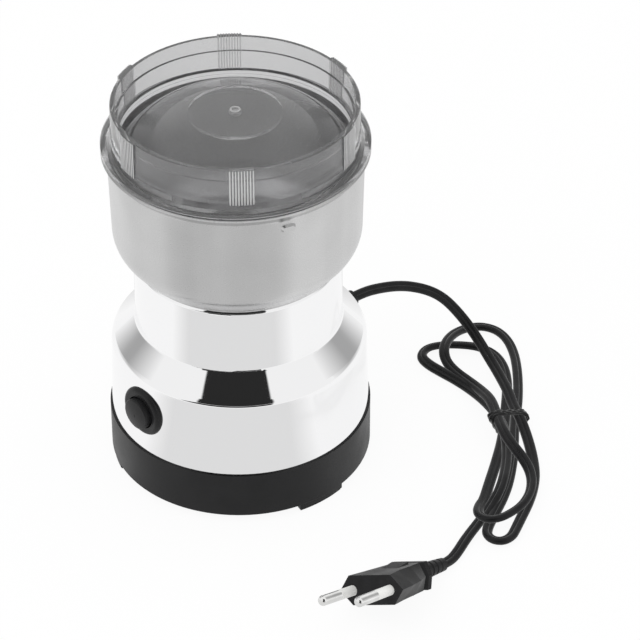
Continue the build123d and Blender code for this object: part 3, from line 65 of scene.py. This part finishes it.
# --- shader helpers ---------------------------------------------------------------------------
class Shader:
    """A Principled material, with short calls for the nodes that vary it."""

    def __init__(self, name, color, roughness, **sockets):
        self.material = bpy.data.materials.new(name)
        self.material.use_nodes = True
        self.tree = self.material.node_tree
        self.surface = self.tree.nodes["Principled BSDF"]
        self.surface.inputs["Base Color"].default_value = (*color, 1)
        self.surface.inputs["Roughness"].default_value = roughness
        for socket, value in sockets.items():
            self.surface.inputs[socket.replace("_", " ")].default_value = value
        self.place = self.tree.nodes.new("ShaderNodeTexCoord").outputs["Object"]

    def node(self, kind, *links, **settings):
        """New node; links go to its inputs in order, settings to its properties or inputs."""
        made = self.tree.nodes.new(kind)
        for key, value in settings.items():
            if key in made.inputs:
                made.inputs[key].default_value = value
            else:
                setattr(made, key, value)
        for index, source in enumerate(links):
            if source is not None:
                self.join(source, made.inputs[index])
        return made

    def join(self, source, target):
        self.tree.links.new(source, target)

    def math(self, operation, first, second=None):
        """One sum of two values, each a number or a socket."""
        made = self.tree.nodes.new("ShaderNodeMath")
        made.operation = operation
        for index, value in enumerate((first, second)):
            if value is None:
                continue
            if isinstance(value, (int, float)):
                made.inputs[index].default_value = value
            else:
                self.join(value, made.inputs[index])
        return made.outputs[0]

    def noise(self, scale, detail=3.0, stretch=None, place=None):
        """Noise over the object's own coordinates, from 0 to 1."""
        source = place or self.place
        if stretch:
            mapping = self.node("ShaderNodeMapping", source)
            mapping.inputs["Scale"].default_value = stretch
            source = mapping.outputs[0]
        made = self.tree.nodes.new("ShaderNodeTexNoise")
        made.inputs["Scale"].default_value = scale
        made.inputs["Detail"].default_value = detail
        self.join(source, made.inputs["Vector"])
        return made.outputs["Fac"]

    def between(self, value, low, high, start=0.3, stop=0.7):
        """Value stretched so that start gives low and stop gives high."""
        made = self.node("ShaderNodeMapRange", value)
        made.inputs["From Min"].default_value = start
        made.inputs["From Max"].default_value = stop
        made.inputs["To Min"].default_value = low
        made.inputs["To Max"].default_value = high
        return made.outputs[0]

    def vary_roughness(self, value, low, high):
        """Roughness from low to high with the value."""
        self.join(self.between(value, low, high), self.surface.inputs["Roughness"])

    def vary_color(self, value, dark, light):
        """Base colour from dark to light with the value."""
        ends = {"A": dark, "B": light}
        mix = self.tree.nodes.new("ShaderNodeMix")
        mix.data_type = "RGBA"
        for socket in mix.inputs:
            if socket.type == "RGBA" and socket.name in ends:
                socket.default_value = (*ends[socket.name], 1)
        self.join(self.between(value, 0.0, 1.0), mix.inputs["Factor"])
        color = [socket for socket in mix.outputs if socket.type == "RGBA"][0]
        self.join(color, self.surface.inputs["Base Color"])

    def bump(self, height, distance, strength=1.0):
        """Relief of that depth in metres; a second call adds to the first."""
        made = self.tree.nodes.new("ShaderNodeBump")
        made.inputs["Strength"].default_value = strength
        made.inputs["Distance"].default_value = distance
        self.join(height, made.inputs["Height"])
        normal = self.surface.inputs["Normal"]
        if normal.is_linked:
            self.join(normal.links[0].from_socket, made.inputs["Normal"])
        self.join(made.outputs[0], normal)

    def around(self):
        """Angle about the upright axis, in radians, and the height."""
        split = self.node("ShaderNodeSeparateXYZ", self.place)
        turn = self.math("ARCTAN2", split.outputs["Y"], split.outputs["X"])
        return turn, split.outputs["Z"]


# --- materials --------------------------------------------------------------------------------
def polished_steel():
    """Bright formed shell, nearly a mirror, with a slight wave."""
    shader = Shader("bright_steel", (0.91, 0.91, 0.915), 0.04, Metallic=1.0)
    shader.vary_roughness(shader.noise(45.0, 4.0), 0.03, 0.06)
    shader.bump(shader.noise(18.0, 1.0), 0.00004)
    return shader.material


def satin_steel():
    """Spun steel with fine rings round the upright axis and faint clouds."""
    shader = Shader("satin_steel", (0.52, 0.52, 0.52), 0.3, Metallic=1.0, Anisotropic=0.5)
    turn, height = shader.around()
    rings = shader.node("ShaderNodeCombineXYZ", shader.math("MULTIPLY", turn, 0.012), None, height)
    lines = shader.noise(5200.0, 4.0, place=rings.outputs[0])
    streaks = shader.node("ShaderNodeCombineXYZ", shader.math("MULTIPLY", turn, 0.04))
    shader.vary_roughness(lines, 0.26, 0.32)
    drawn = shader.noise(55.0, 2.0, place=streaks.outputs[0])
    clouds = shader.math("ADD", drawn, shader.noise(32.0, 2.0))
    shader.vary_color(shader.math("MULTIPLY", clouds, 0.5), (0.51, 0.51, 0.51), (0.65, 0.65, 0.65))
    shader.bump(lines, 0.000004)
    tangent = shader.node("ShaderNodeTangent", direction_type="RADIAL", axis="Z")
    shader.join(tangent.outputs[0], shader.surface.inputs["Tangent"])
    return shader.material


RIB_REACH = 0.04755  # the lid's grip ribs stand out beyond this radius
RIB_FOOT = 0.1468  # and above this height
GATE_REACH = 0.0024  # radius of the mould gate's mark in the crown's middle
MASK_EDGE = 0.00005  # the edges of those marks are soft over a few of these


def smoky_plastic():
    """Clear plastic with a little haze; the fine ribs outside the wall get a lighter, less clear tone as a
    painted highlight, and the gate's mark is lighter too.
    """
    shader = Shader("clear_plastic", (0.64, 0.64, 0.645), 0.03, Transmission_Weight=0.93, IOR=1.49)
    shader.vary_roughness(shader.noise(30.0, 3.0), 0.02, 0.05)
    shader.bump(shader.noise(14.0, 1.0), 0.00012)
    split = shader.node("ShaderNodeSeparateXYZ", shader.place)
    flat = shader.node("ShaderNodeCombineXYZ", split.outputs["X"], split.outputs["Y"])
    reach = shader.node("ShaderNodeVectorMath", flat.outputs[0], operation="LENGTH")
    out = reach.outputs["Value"]
    # Painted highlight: the ribs outside the wall are made lighter and less clear to stand in for the light
    # they catch; the mould gate's mark is made lighter as well.
    proud = shader.between(out, 0.0, 1.0, RIB_REACH - MASK_EDGE, RIB_REACH + MASK_EDGE)
    raised = shader.between(split.outputs["Z"], 0.0, 1.0, RIB_FOOT, RIB_FOOT + 4 * MASK_EDGE)
    ribs = shader.math("MULTIPLY", proud, raised)
    gate = shader.between(out, 0.6, 0.0, GATE_REACH, GATE_REACH + 2 * MASK_EDGE)
    rib_sheen_and_gate_mark = shader.math("MAXIMUM", ribs, gate)
    shader.vary_color(rib_sheen_and_gate_mark, (0.66, 0.66, 0.665), (0.84, 0.84, 0.84))
    shader.join(shader.between(rib_sheen_and_gate_mark, 0.92, 0.5, 0.0, 1.0), shader.surface.inputs["Transmission Weight"])
    return shader.material


def moulded_plastic(name, color, roughness=0.42, grain=0.00003, scale=2600.0):
    """Opaque plastic with a fine grain of that depth."""
    light = tuple(min(1.0, channel * 1.25 + 0.002) for channel in color)
    shader = Shader(name, color, roughness, Specular_IOR_Level=0.25)
    shader.vary_color(shader.noise(120.0, 4.0), color, light)
    shader.vary_roughness(shader.noise(60.0, 4.0), roughness - 0.06, roughness + 0.08)
    shader.bump(shader.noise(scale, 2.0), grain)
    return shader.material


def turned_metal(name, color, roughness=0.3):
    """Plain or plated metal with small tool marks."""
    light = tuple(min(1.0, channel * 1.15) for channel in color)
    shader = Shader(name, color, roughness, Metallic=1.0)
    shader.vary_color(shader.noise(180.0, 4.0), color, light)
    shader.vary_roughness(shader.noise(400.0, 4.0), roughness - 0.08, roughness + 0.1)
    shader.bump(shader.noise(900.0, 3.0), 0.00002)
    return shader.material


def wound_wire():
    """Lacquered copper in close turns."""
    shader = Shader("copper_wire", (0.62, 0.28, 0.12), 0.3, Metallic=0.8)
    wave = shader.node("ShaderNodeTexWave", shader.place, bands_direction="DIAGONAL")
    wave.inputs["Scale"].default_value = 700.0
    wave.inputs["Distortion"].default_value = 2.0
    shader.vary_color(wave.outputs["Fac"], (0.40, 0.17, 0.07), (0.72, 0.36, 0.17))
    shader.bump(wave.outputs["Fac"], 0.0002)
    return shader.material


SHEETS_PER_METRE = 2000.0


def stacked_sheets():
    """Core of thin steel sheets, stacked along the upright axis."""
    shader = Shader("core_steel", (0.32, 0.32, 0.33), 0.45, Metallic=0.9)
    split = shader.node("ShaderNodeSeparateXYZ", shader.place)
    sheet = shader.math("FRACT", shader.math("MULTIPLY", split.outputs["Z"], SHEETS_PER_METRE))
    shader.vary_color(sheet, (0.16, 0.16, 0.17), (0.40, 0.40, 0.41))
    shader.bump(sheet, 0.00008)
    return shader.material


def rubber(name, color, roughness=0.55):
    """Dull rubber with a fine grain."""
    light = tuple(channel * 1.6 + 0.002 for channel in color)
    shader = Shader(name, color, roughness, Specular_IOR_Level=0.2)
    shader.vary_color(shader.noise(250.0, 4.0), color, light)
    shader.vary_roughness(shader.noise(90.0, 3.0), roughness - 0.08, roughness + 0.08)
    shader.bump(shader.noise(1500.0, 3.0), 0.00004)
    return shader.material


BLACK = (0.007, 0.007, 0.0075)
materials = {
    "bright_steel": polished_steel(),
    "satin_steel": satin_steel(),
    "clear_plastic": smoky_plastic(),
    "black_plastic": moulded_plastic("black_plastic", BLACK),
    "white_nylon": moulded_plastic("white_nylon", (0.74, 0.74, 0.72), 0.5),
    "phenolic": moulded_plastic("phenolic", (0.24, 0.13, 0.06), 0.55, 0.00005, 900.0),
    "carbon": moulded_plastic("carbon", (0.02, 0.02, 0.02), 0.6, 0.00005, 1800.0),
    "black_rubber": rubber("black_rubber", BLACK),
    "cord_sheath": rubber("cord_sheath", (0.006, 0.006, 0.0065), 0.4),
    "tie_film": moulded_plastic("tie_film", (0.006, 0.006, 0.006), 0.3, 0.0001, 500.0),
    "zinc_steel": turned_metal("zinc_steel", (0.60, 0.60, 0.58)),
    "bronze": turned_metal("bronze", (0.52, 0.36, 0.18), 0.45),
    "brass": turned_metal("brass", (0.72, 0.53, 0.24), 0.28),
    "aluminium": turned_metal("aluminium", (0.68, 0.68, 0.69), 0.42),
    "nickel": turned_metal("nickel", (0.78, 0.78, 0.77), 0.12),
    "copper_wire": wound_wire(),
    "core_steel": stacked_sheets(),
}


def dress(piece, slot):
    """Give a piece one material."""
    piece.data.materials.clear()
    piece.data.materials.append(materials[slot])


for part in frame["record"]["subparts"]:
    dress(nodes[part["node"]], part["material_slot"])

# --- cord -------------------------------------------------------------------------------------
# Lengths and control points are in millimetres, in the frame's axes.
CORD_WIDTH = 4.4
CORD_THICKNESS = 2.9
CORD_GROOVE = 0.4
GROOVE_PROFILE = ((0.5, 0.25), (0.2, 0.8), (0.0, 1.0), (-0.2, 0.8), (-0.5, 0.25))  # shares of reach and depth
GLAND_TIP = (44.96, 41.93, 39.8)
LEAD = (
    (49.5, 46.1, 39.6), (56.1, 51.1, 38.0), (63.2, 55.4, 36.0), (69.8, 58.3, 33.5), (77.0, 60.2, 30.0),
    (82.8, 60.4, 26.0), (87.9, 59.7, 20.5), (92.8, 58.0, 14.5), (97.2, 54.0, 9.5), (101.0, 46.5, 6.6),
    (105.1, 36.2, 5.2), (108.3, 25.1, 5.0), (109.9, 15.8, 5.0),
)
OUTER_FOLD = (
    (112.1, 7.5, 4.9), (114.7, -2.4, 3.0), (116.4, -14.3, 1.8), (116.7, -25.3, 1.6), (115.4, -34.6, 1.6),
    (112.8, -43.8, 1.6), (109.4, -52.9, 1.6), (107.2, -59.0, 1.6), (105.6, -62.8, 1.6), (102.3, -65.4, 1.6),
    (98.6, -64.9, 1.6), (96.2, -61.8, 1.6), (96.6, -57.4, 1.6), (98.9, -51.0, 1.6), (103.2, -40.1, 1.6),
    (106.2, -29.7, 1.6), (108.3, -17.2, 1.6), (109.4, -5.8, 1.6), (110.2, 7.1, 1.6),
)
TOP_LOOP = (
    (112.1, 20.1, 1.6), (112.9, 31.4, 1.6), (113.1, 44.2, 1.6), (112.3, 54.8, 1.6), (110.1, 63.8, 1.6),
    (106.2, 70.1, 1.6), (101.0, 72.9, 1.6), (96.2, 72.9, 1.6), (91.2, 70.0, 2.2), (86.8, 64.0, 3.8),
    (83.7, 56.8, 4.8), (82.8, 50.5, 4.6), (84.1, 45.5, 3.2), (87.7, 39.9, 2.6), (92.8, 33.8, 2.6),
    (97.7, 25.1, 4.2), (101.1, 14.9, 7.0),
)
INNER_FOLD = (
    (103.0, 2.4, 7.6), (105.1, -7.1, 7.8), (108.3, -15.4, 7.8), (112.0, -21.5, 6.6), (114.5, -27.2, 5.2),
    (115.0, -34.2, 4.8), (113.6, -41.5, 4.8), (110.3, -48.2, 4.8), (105.6, -52.9, 4.8), (101.5, -55.9, 4.8),
    (97.3, -56.7, 4.7), (93.9, -54.3, 4.3), (93.0, -50.1, 3.5), (94.2, -45.1, 2.5), (95.9, -41.3, 1.8),
    (98.3, -30.9, 1.6), (101.9, -16.9, 1.6), (105.2, -1.3, 1.6), (106.9, 14.2, 1.6),
)
SIDE_LOOP = (
    (108.5, 30.1, 1.6), (108.2, 41.8, 1.6), (106.3, 49.7, 1.6), (102.8, 55.5, 1.6), (97.1, 59.1, 1.6),
    (89.7, 60.3, 1.6), (81.7, 60.2, 1.6), (75.8, 57.9, 1.6), (73.4, 52.4, 1.6), (76.0, 47.3, 1.6),
    (81.6, 41.8, 1.6), (87.6, 36.4, 1.6), (93.5, 29.4, 1.9), (98.6, 20.7, 3.0), (102.6, 10.4, 4.6),
)
TAIL = (
    (105.6, 0.1, 4.6), (106.3, -9.6, 3.6), (105.7, -19.9, 3.8), (103.9, -31.5, 4.6), (101.6, -39.6, 4.2),
    (97.9, -46.0, 2.2), (93.5, -54.0, 1.7), (88.2, -63.6, 1.7), (84.2, -72.2, 1.75), (81.2, -77.0, 1.75),
    (77.7, -80.8, 3.25),
)


def smooth_line(name, points):
    """Points along a NURBS spline with those control points, in metres."""
    curve = bpy.data.curves.new(name, "CURVE")
    curve.dimensions = "3D"
    curve.resolution_u = 10
    spline = curve.splines.new("NURBS")
    spline.points.add(len(points) - 1)
    for control, point in zip(spline.points, points):
        control.co = (*(value * MM for value in point), 1)
    spline.order_u = 3
    spline.use_endpoint_u = True
    holder = bpy.data.objects.new(name, curve)
    mesh = bpy.data.meshes.new_from_object(holder)
    line = [vertex.co.copy() for vertex in mesh.vertices]
    bpy.data.objects.remove(holder)
    bpy.data.meshes.remove(mesh)
    return line


def flat_section(width, thickness, groove, arc=8):
    """Outline of a flat twin cord: two half rounds, with a groove along the middle of each flat."""
    radius = thickness / 2
    reach = width / 2 - radius
    outline = []
    for side in (1, -1):
        for step in range(arc + 1):
            turn = pi * step / arc
            outline.append((side * (reach + radius * sin(turn)), side * radius * cos(turn)))
        for across, depth in GROOVE_PROFILE:
            outline.append((side * reach * across, -side * (radius - groove * depth)))
    return outline


def join_rings(built, rings):
    """Faces between each closed ring of points and the next."""
    size = len(rings[0])
    for first, second in zip(rings, rings[1:]):
        for index in range(size):
            nearby = (index + 1) % size
            built.faces.new((first[index], first[nearby], second[nearby], second[index]))


def join_rows(built, rows):
    """Faces between each open row of points and the next."""
    for first, second in zip(rows, rows[1:]):
        for index in range(len(first) - 1):
            built.faces.new((first[index], first[index + 1], second[index + 1], second[index]))


def sweep(name, line, outline, normal_at):
    """Mesh tube with that outline along a line; normal_at gives the way its broad side faces."""
    built = bmesh.new()
    rings = []
    for index, point in enumerate(line):
        after = line[index + 1] if index + 1 < len(line) else point
        before = line[index - 1] if index else point
        along = (after - before).normalized()
        facing = normal_at(index)
        across = facing.cross(along).normalized()
        facing = along.cross(across)
        rings.append([built.verts.new(point + across * x + facing * y) for x, y in outline])
    join_rings(built, rings)
    built.faces.new(rings[0][::-1])
    built.faces.new(rings[-1])
    bmesh.ops.recalc_face_normals(built, faces=built.faces)
    return piece_from(built, name)


def piece_from(built, name):
    """Smooth-shaded object from a finished bmesh."""
    mesh = bpy.data.meshes.new(name)
    built.to_mesh(mesh)
    built.free()
    mesh.shade_smooth()
    piece = bpy.data.objects.new(name, mesh)
    scene.collection.objects.link(piece)
    return piece


LEVEL_START = 1.6  # lowest height in the hank's points
LEVEL_LIFT = 0.4  # every level of the hank is lifted by this
LEVEL_SPREAD = 1.12  # and the levels above the lowest are spread by this
PLUG_POINTS = 3  # the tail's last points lead into the plug and stay as they are

hank_route = [
    (x, y, LEVEL_START + LEVEL_LIFT + (z - LEVEL_START) * LEVEL_SPREAD)
    for x, y, z in (*OUTER_FOLD, *TOP_LOOP, *INNER_FOLD, *SIDE_LOOP, *TAIL[:-PLUG_POINTS])
]
route = [GLAND_TIP, *LEAD, *hank_route, *TAIL[-PLUG_POINTS:]]
cord_line = smooth_line("cord_line", route)
cord_outline = flat_section(CORD_WIDTH * MM, CORD_THICKNESS * MM, CORD_GROOVE * MM)
cord_span = len(cord_line) - 1


HANG_SHARE = 0.16  # share of the length over which the cord comes down to the table
HANG_LEAN = 0.9
ROLL_MEAN, ROLL_SWING = 0.45, 0.3  # in radians, about the cord's own line
ROLL_WAVES, ROLL_START = 23.0, 0.6
ROLL_IN, ROLL_OUT = 6, 25  # how fast the roll grows at the gland and fades at the plug


def cord_facing(index):
    """The broad side faces forward where the cord hangs, and rolls a little along the hank."""
    share = index / cord_span
    hang = max(0.0, 1 - share / HANG_SHARE)
    rolled = ROLL_MEAN + ROLL_SWING * sin(ROLL_WAVES * share + ROLL_START) * (1 - hang)
    along = (cord_line[min(index + 1, cord_span)] - cord_line[max(index - 1, 0)]).normalized()
    upright = Vector((0, -HANG_LEAN * hang, 1)).normalized()
    ends = min(1.0, ROLL_IN * share, ROLL_OUT * (1 - share))
    return Matrix.Rotation(rolled * ends * (1 - hang), 3, along) @ upright


flex = sweep("mains_cord", cord_line, cord_outline, cord_facing)
dress(flex, "cord_sheath")
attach(flex, "housing")
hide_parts("cord_lead", "cord_hank", "cord_tail")

# --- twist tie --------------------------------------------------------------------------------
TIE_CENTRE = (107.9, 5.5)
TIE_TURN = 24.0  # from straight across the bundle
TIE_REACH = 13.0  # how far out the bundle's strands lie
TIE_WIDTH = 4.4
TIE_THICKNESS = 0.6
TIE_SLACK = 0.25  # above and below the strands
TIE_LOWEST = 0.2  # above the table
HULL_STEPS = 240
RING_POINTS = 160
BAND_STEPS = 10  # across the band
BAND_LEAST, BAND_FLARE = 0.72, 0.5  # shares of the width, at the middle and more at the two ends
BAND_CLEAR, CREASE_SHARE, MIDDLE_LIFT, END_LIFT = 0.1, 0.7, 0.3, 0.5  # heights over the strands


def strands_at_tie(centre, across, forward):
    """Where the cord passes the tie's plane, across the bundle and up."""
    found = []
    for before, after in zip(cord_line, cord_line[1:]):
        start, stop = (before - centre).dot(forward), (after - centre).dot(forward)
        if start * stop < 0:
            place = before.lerp(after, start / (start - stop)) - centre
            if abs(place.dot(across)) < TIE_REACH * MM:
                found.append((place.dot(across), place.z))
    return found


def tight_ring(strands, count):
    """Even points of the tight band round those strands, each with its outward way."""
    wide, high = CORD_WIDTH / 2 * MM, (CORD_THICKNESS / 2 + TIE_SLACK) * MM
    hull = []
    for step in range(HULL_STEPS):
        turn = 2 * pi * step / HULL_STEPS
        way = (cos(turn), sin(turn))
        u, w = max(strands, key=lambda strand: strand[0] * way[0] + strand[1] * way[1])
        size = ((wide * way[0]) ** 2 + (high * way[1]) ** 2) ** 0.5
        hull.append(Vector((u + wide ** 2 * way[0] / size, w + high ** 2 * way[1] / size)))
    hull.append(hull[0])
    spans = [(b - a).length for a, b in zip(hull, hull[1:])]
    whole = sum(spans)
    ring = []
    index, passed = 0, 0.0
    for step in range(count):
        aim = whole * step / count
        while passed + spans[index] < aim:
            passed += spans[index]
            index += 1
        share = (aim - passed) / max(spans[index], 1e-9)
        along = (hull[index + 1] - hull[index]).normalized()
        ring.append((hull[index].lerp(hull[index + 1], share), Vector((along.y, -along.x))))
    return ring


def crumpled_band():
    """Film band tight round the waist, gathered on top, creased and wider at its two ends."""
    turn = radians(TIE_TURN)
    across, forward = Vector((cos(turn), sin(turn), 0)), Vector((-sin(turn), cos(turn), 0))
    centre = Vector((*TIE_CENTRE, 0)) * MM
    ring = tight_ring(strands_at_tie(centre, across, forward), RING_POINTS)
    built = bmesh.new()
    loops = []
    for index, (place, out) in enumerate(ring):
        share = index / len(ring)
        end = abs(out.x) ** 3
        breadth = TIE_WIDTH * (BAND_LEAST + BAND_FLARE * end)
        drift = 0.4 * sin(2 * pi * share + 1.0) + 0.2 * sin(6 * pi * share)
        loop = []
        for side in (0, 1):
            for step in range(BAND_STEPS + 1):
                wide = (step / BAND_STEPS * 2 - 1) * (-1 if side else 1)
                crease = 0.2 * sin(9 * wide + 6 * pi * share) + 0.16 * sin(5 * wide - 22 * pi * share)
                lift = BAND_CLEAR + crease * CREASE_SHARE + MIDDLE_LIFT * (1 - wide * wide) + END_LIFT * end
                lift += 0 if side else TIE_THICKNESS
                shift = (drift + wide * breadth / 2) * MM
                spot = centre + across * (place.x + out.x * lift * MM) + forward * shift
                spot.z = max(place.y + out.y * lift * MM, TIE_LOWEST * MM)
                loop.append(built.verts.new(spot))
        loops.append(loop)
    join_rings(built, [*loops, loops[0]])
    bmesh.ops.recalc_face_normals(built, faces=built.faces)
    return piece_from(built, "cord_tie_band")


band = crumpled_band()
dress(band, "tie_film")
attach(band, "housing")
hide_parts("cord_tie")

# The photograph's housing shows no reflection of the cord.
for piece in (flex, band, nodes["plug_body"], nodes["plug_pins"], nodes["plug_sleeves"]):
    piece.visible_glossy = False

# --- floor and light --------------------------------------------------------------------------
FLOOR_REACH = 6.0
FLOOR_LEVEL = -0.0002
FLOOR_TONE = 0.93
FLOOR_GLOW = 0.93  # share of plain glow in what the camera and the mirrors see of the floor
WORLD_STRENGTH = 0.95


def plain_floor():
    """Pale floor that shows nearly white, and keeps a faint shadow of the object."""
    material = bpy.data.materials.new("floor")
    material.use_nodes = True
    tree = material.node_tree
    surface = tree.nodes["Principled BSDF"]
    surface.inputs["Base Color"].default_value = (FLOOR_TONE, FLOOR_TONE, FLOOR_TONE, 1)
    surface.inputs["Roughness"].default_value = 0.9
    surface.inputs["Specular IOR Level"].default_value = 0.0
    glow = tree.nodes.new("ShaderNodeEmission")
    glow.inputs["Strength"].default_value = 1.0
    path = tree.nodes.new("ShaderNodeLightPath")
    shown = path.outputs["Is Camera Ray"]
    for kind in ("Is Transmission Ray", "Is Glossy Ray"):
        either = tree.nodes.new("ShaderNodeMath")
        either.operation = "MAXIMUM"
        tree.links.new(shown, either.inputs[0])
        tree.links.new(path.outputs[kind], either.inputs[1])
        shown = either.outputs[0]
    share = tree.nodes.new("ShaderNodeMath")
    share.operation = "MULTIPLY"
    share.inputs[1].default_value = FLOOR_GLOW
    tree.links.new(shown, share.inputs[0])
    mix = tree.nodes.new("ShaderNodeMixShader")
    tree.links.new(share.outputs[0], mix.inputs[0])
    tree.links.new(surface.outputs[0], mix.inputs[1])
    tree.links.new(glow.outputs[0], mix.inputs[2])
    tree.links.new(mix.outputs[0], tree.nodes["Material Output"].inputs["Surface"])
    return material


floor_mesh = bpy.data.meshes.new("floor")
floor_mesh.from_pydata(
    [(x * FLOOR_REACH, y * FLOOR_REACH, 0) for x, y in ((-1, -1), (1, -1), (1, 1), (-1, 1))],
    [],
    [(0, 1, 2, 3)],
)
floor = bpy.data.objects.new("floor", floor_mesh)
floor.location.z = FLOOR_LEVEL
floor_mesh.materials.append(plain_floor())
scene.collection.objects.link(floor)

world = bpy.data.worlds.new("studio")
world.use_nodes = True
scene.world = world
background = world.node_tree.nodes["Background"]
background.inputs["Color"].default_value = (1, 1, 1, 1)
background.inputs["Strength"].default_value = WORLD_STRENGTH

CARD_DISTANCE = 2.4
CARD_LIFT = 0.05
CARD_GRID = (36, 24)  # across and up
PAPER_GRID = (45, 8)  # across and out
PAPER_LEVEL = -0.0001


def card(name, turns, rises, level, lean=(0.0, 0.0), soft=(1.0, 1.0, 0.01)):
    """Curved card between two turns from the front and two rises, which leans out by so much at its top.

    Its sides, top and foot are soft over those angles.
    """
    built = bmesh.new()
    fade = built.verts.layers.float.new("fade")
    low, high = rises
    soft_sides, soft_top, soft_foot = soft
    across, up = CARD_GRID
    rows = []
    for row in range(up + 1):
        rise = low + (high - low) * row / up
        left, right = (turn + out * row / up for turn, out in zip(turns, lean))
        line = []
        for column in range(across + 1):
            turn = left + (right - left) * column / across
            flat = cos(radians(rise)) * CARD_DISTANCE
            height = CARD_DISTANCE * sin(radians(rise)) + CARD_LIFT
            corner = built.verts.new((flat * sin(radians(turn)), -flat * cos(radians(turn)), height))
            sides = min(turn - left, right - turn) / soft_sides
            corner[fade] = min(1.0, sides, (high - rise) / soft_top, (rise - low) / soft_foot + 0.01)
            line.append(corner)
        rows.append(line)
    join_rows(built, rows)
    reflect_only(piece_from(built, name), level)


def reflect_only(made, level):
    """Stage card of one grey with faded edges, which only mirrors show."""
    material = bpy.data.materials.new(made.name)
    material.use_nodes = True
    tree = material.node_tree
    tree.nodes.remove(tree.nodes["Principled BSDF"])
    glow = tree.nodes.new("ShaderNodeEmission")
    glow.inputs["Color"].default_value = (level, level, level, 1)
    clear = tree.nodes.new("ShaderNodeBsdfTransparent")
    edge = tree.nodes.new("ShaderNodeAttribute")
    edge.attribute_name = "fade"
    mix = tree.nodes.new("ShaderNodeMixShader")
    tree.links.new(edge.outputs["Fac"], mix.inputs[0])
    tree.links.new(clear.outputs[0], mix.inputs[1])
    tree.links.new(glow.outputs[0], mix.inputs[2])
    tree.links.new(mix.outputs[0], tree.nodes["Material Output"].inputs["Surface"])
    made.data.materials.append(material)
    made.visible_camera = False
    made.visible_diffuse = False
    made.visible_transmission = False
    made.visible_shadow = False


card("dark_card", (-34.5, 29.0), (11.0, 62.0), 0.024, lean=(-5.5, 6.0))
card("dark_strip", (-50.0, 28.0), (0.0, 11.1), 0.002, lean=(15.0, 1.0))
card("grey_card_left", (-150.0, -84.0), (0.0, 52.0), 0.4, soft=(26.0, 26.0, 14.0))
card("grey_card_right", (84.0, 150.0), (0.0, 52.0), 0.4, soft=(26.0, 26.0, 14.0))


def floor_paper(name, turns, reach, level, soft=18.0):
    """Sheet of paper on the floor between two turns from the front, which only the metal shows."""
    built = bmesh.new()
    fade = built.verts.layers.float.new("fade")
    left, right = turns
    near, far = reach
    across, out = PAPER_GRID
    rows = []
    for row in range(out + 1):
        distance = near + (far - near) * row / out
        line = []
        for column in range(across + 1):
            turn = left + (right - left) * column / across
            place = (distance * sin(radians(turn)), -distance * cos(radians(turn)), PAPER_LEVEL)
            corner = built.verts.new(place)
            corner[fade] = min(1.0, (turn - left) / soft, (right - turn) / soft)
            line.append(corner)
        rows.append(line)
    join_rows(built, rows)
    reflect_only(piece_from(built, name), level)


floor_paper("front_paper", (-66.0, 54.0), (0.02, 0.6), 0.78)
floor_paper("back_paper", (144.0, 216.0), (0.05, 0.6), 0.55, soft=24.0)


def soft_box(name, place, target, size, power):
    """Square area light that faces a point."""
    data = bpy.data.lights.new(name, "AREA")
    data.shape = "RECTANGLE"
    data.size, data.size_y = size
    data.energy = power
    box = bpy.data.objects.new(name, data)
    box.location = place
    box.rotation_euler = (Vector(target) - Vector(place)).to_track_quat("-Z", "Y").to_euler()
    box.visible_glossy = False
    scene.collection.objects.link(box)


soft_box("key", (-0.5, -0.5, 1.1), (0, 0, 0.08), (0.7, 0.7), 3.0)
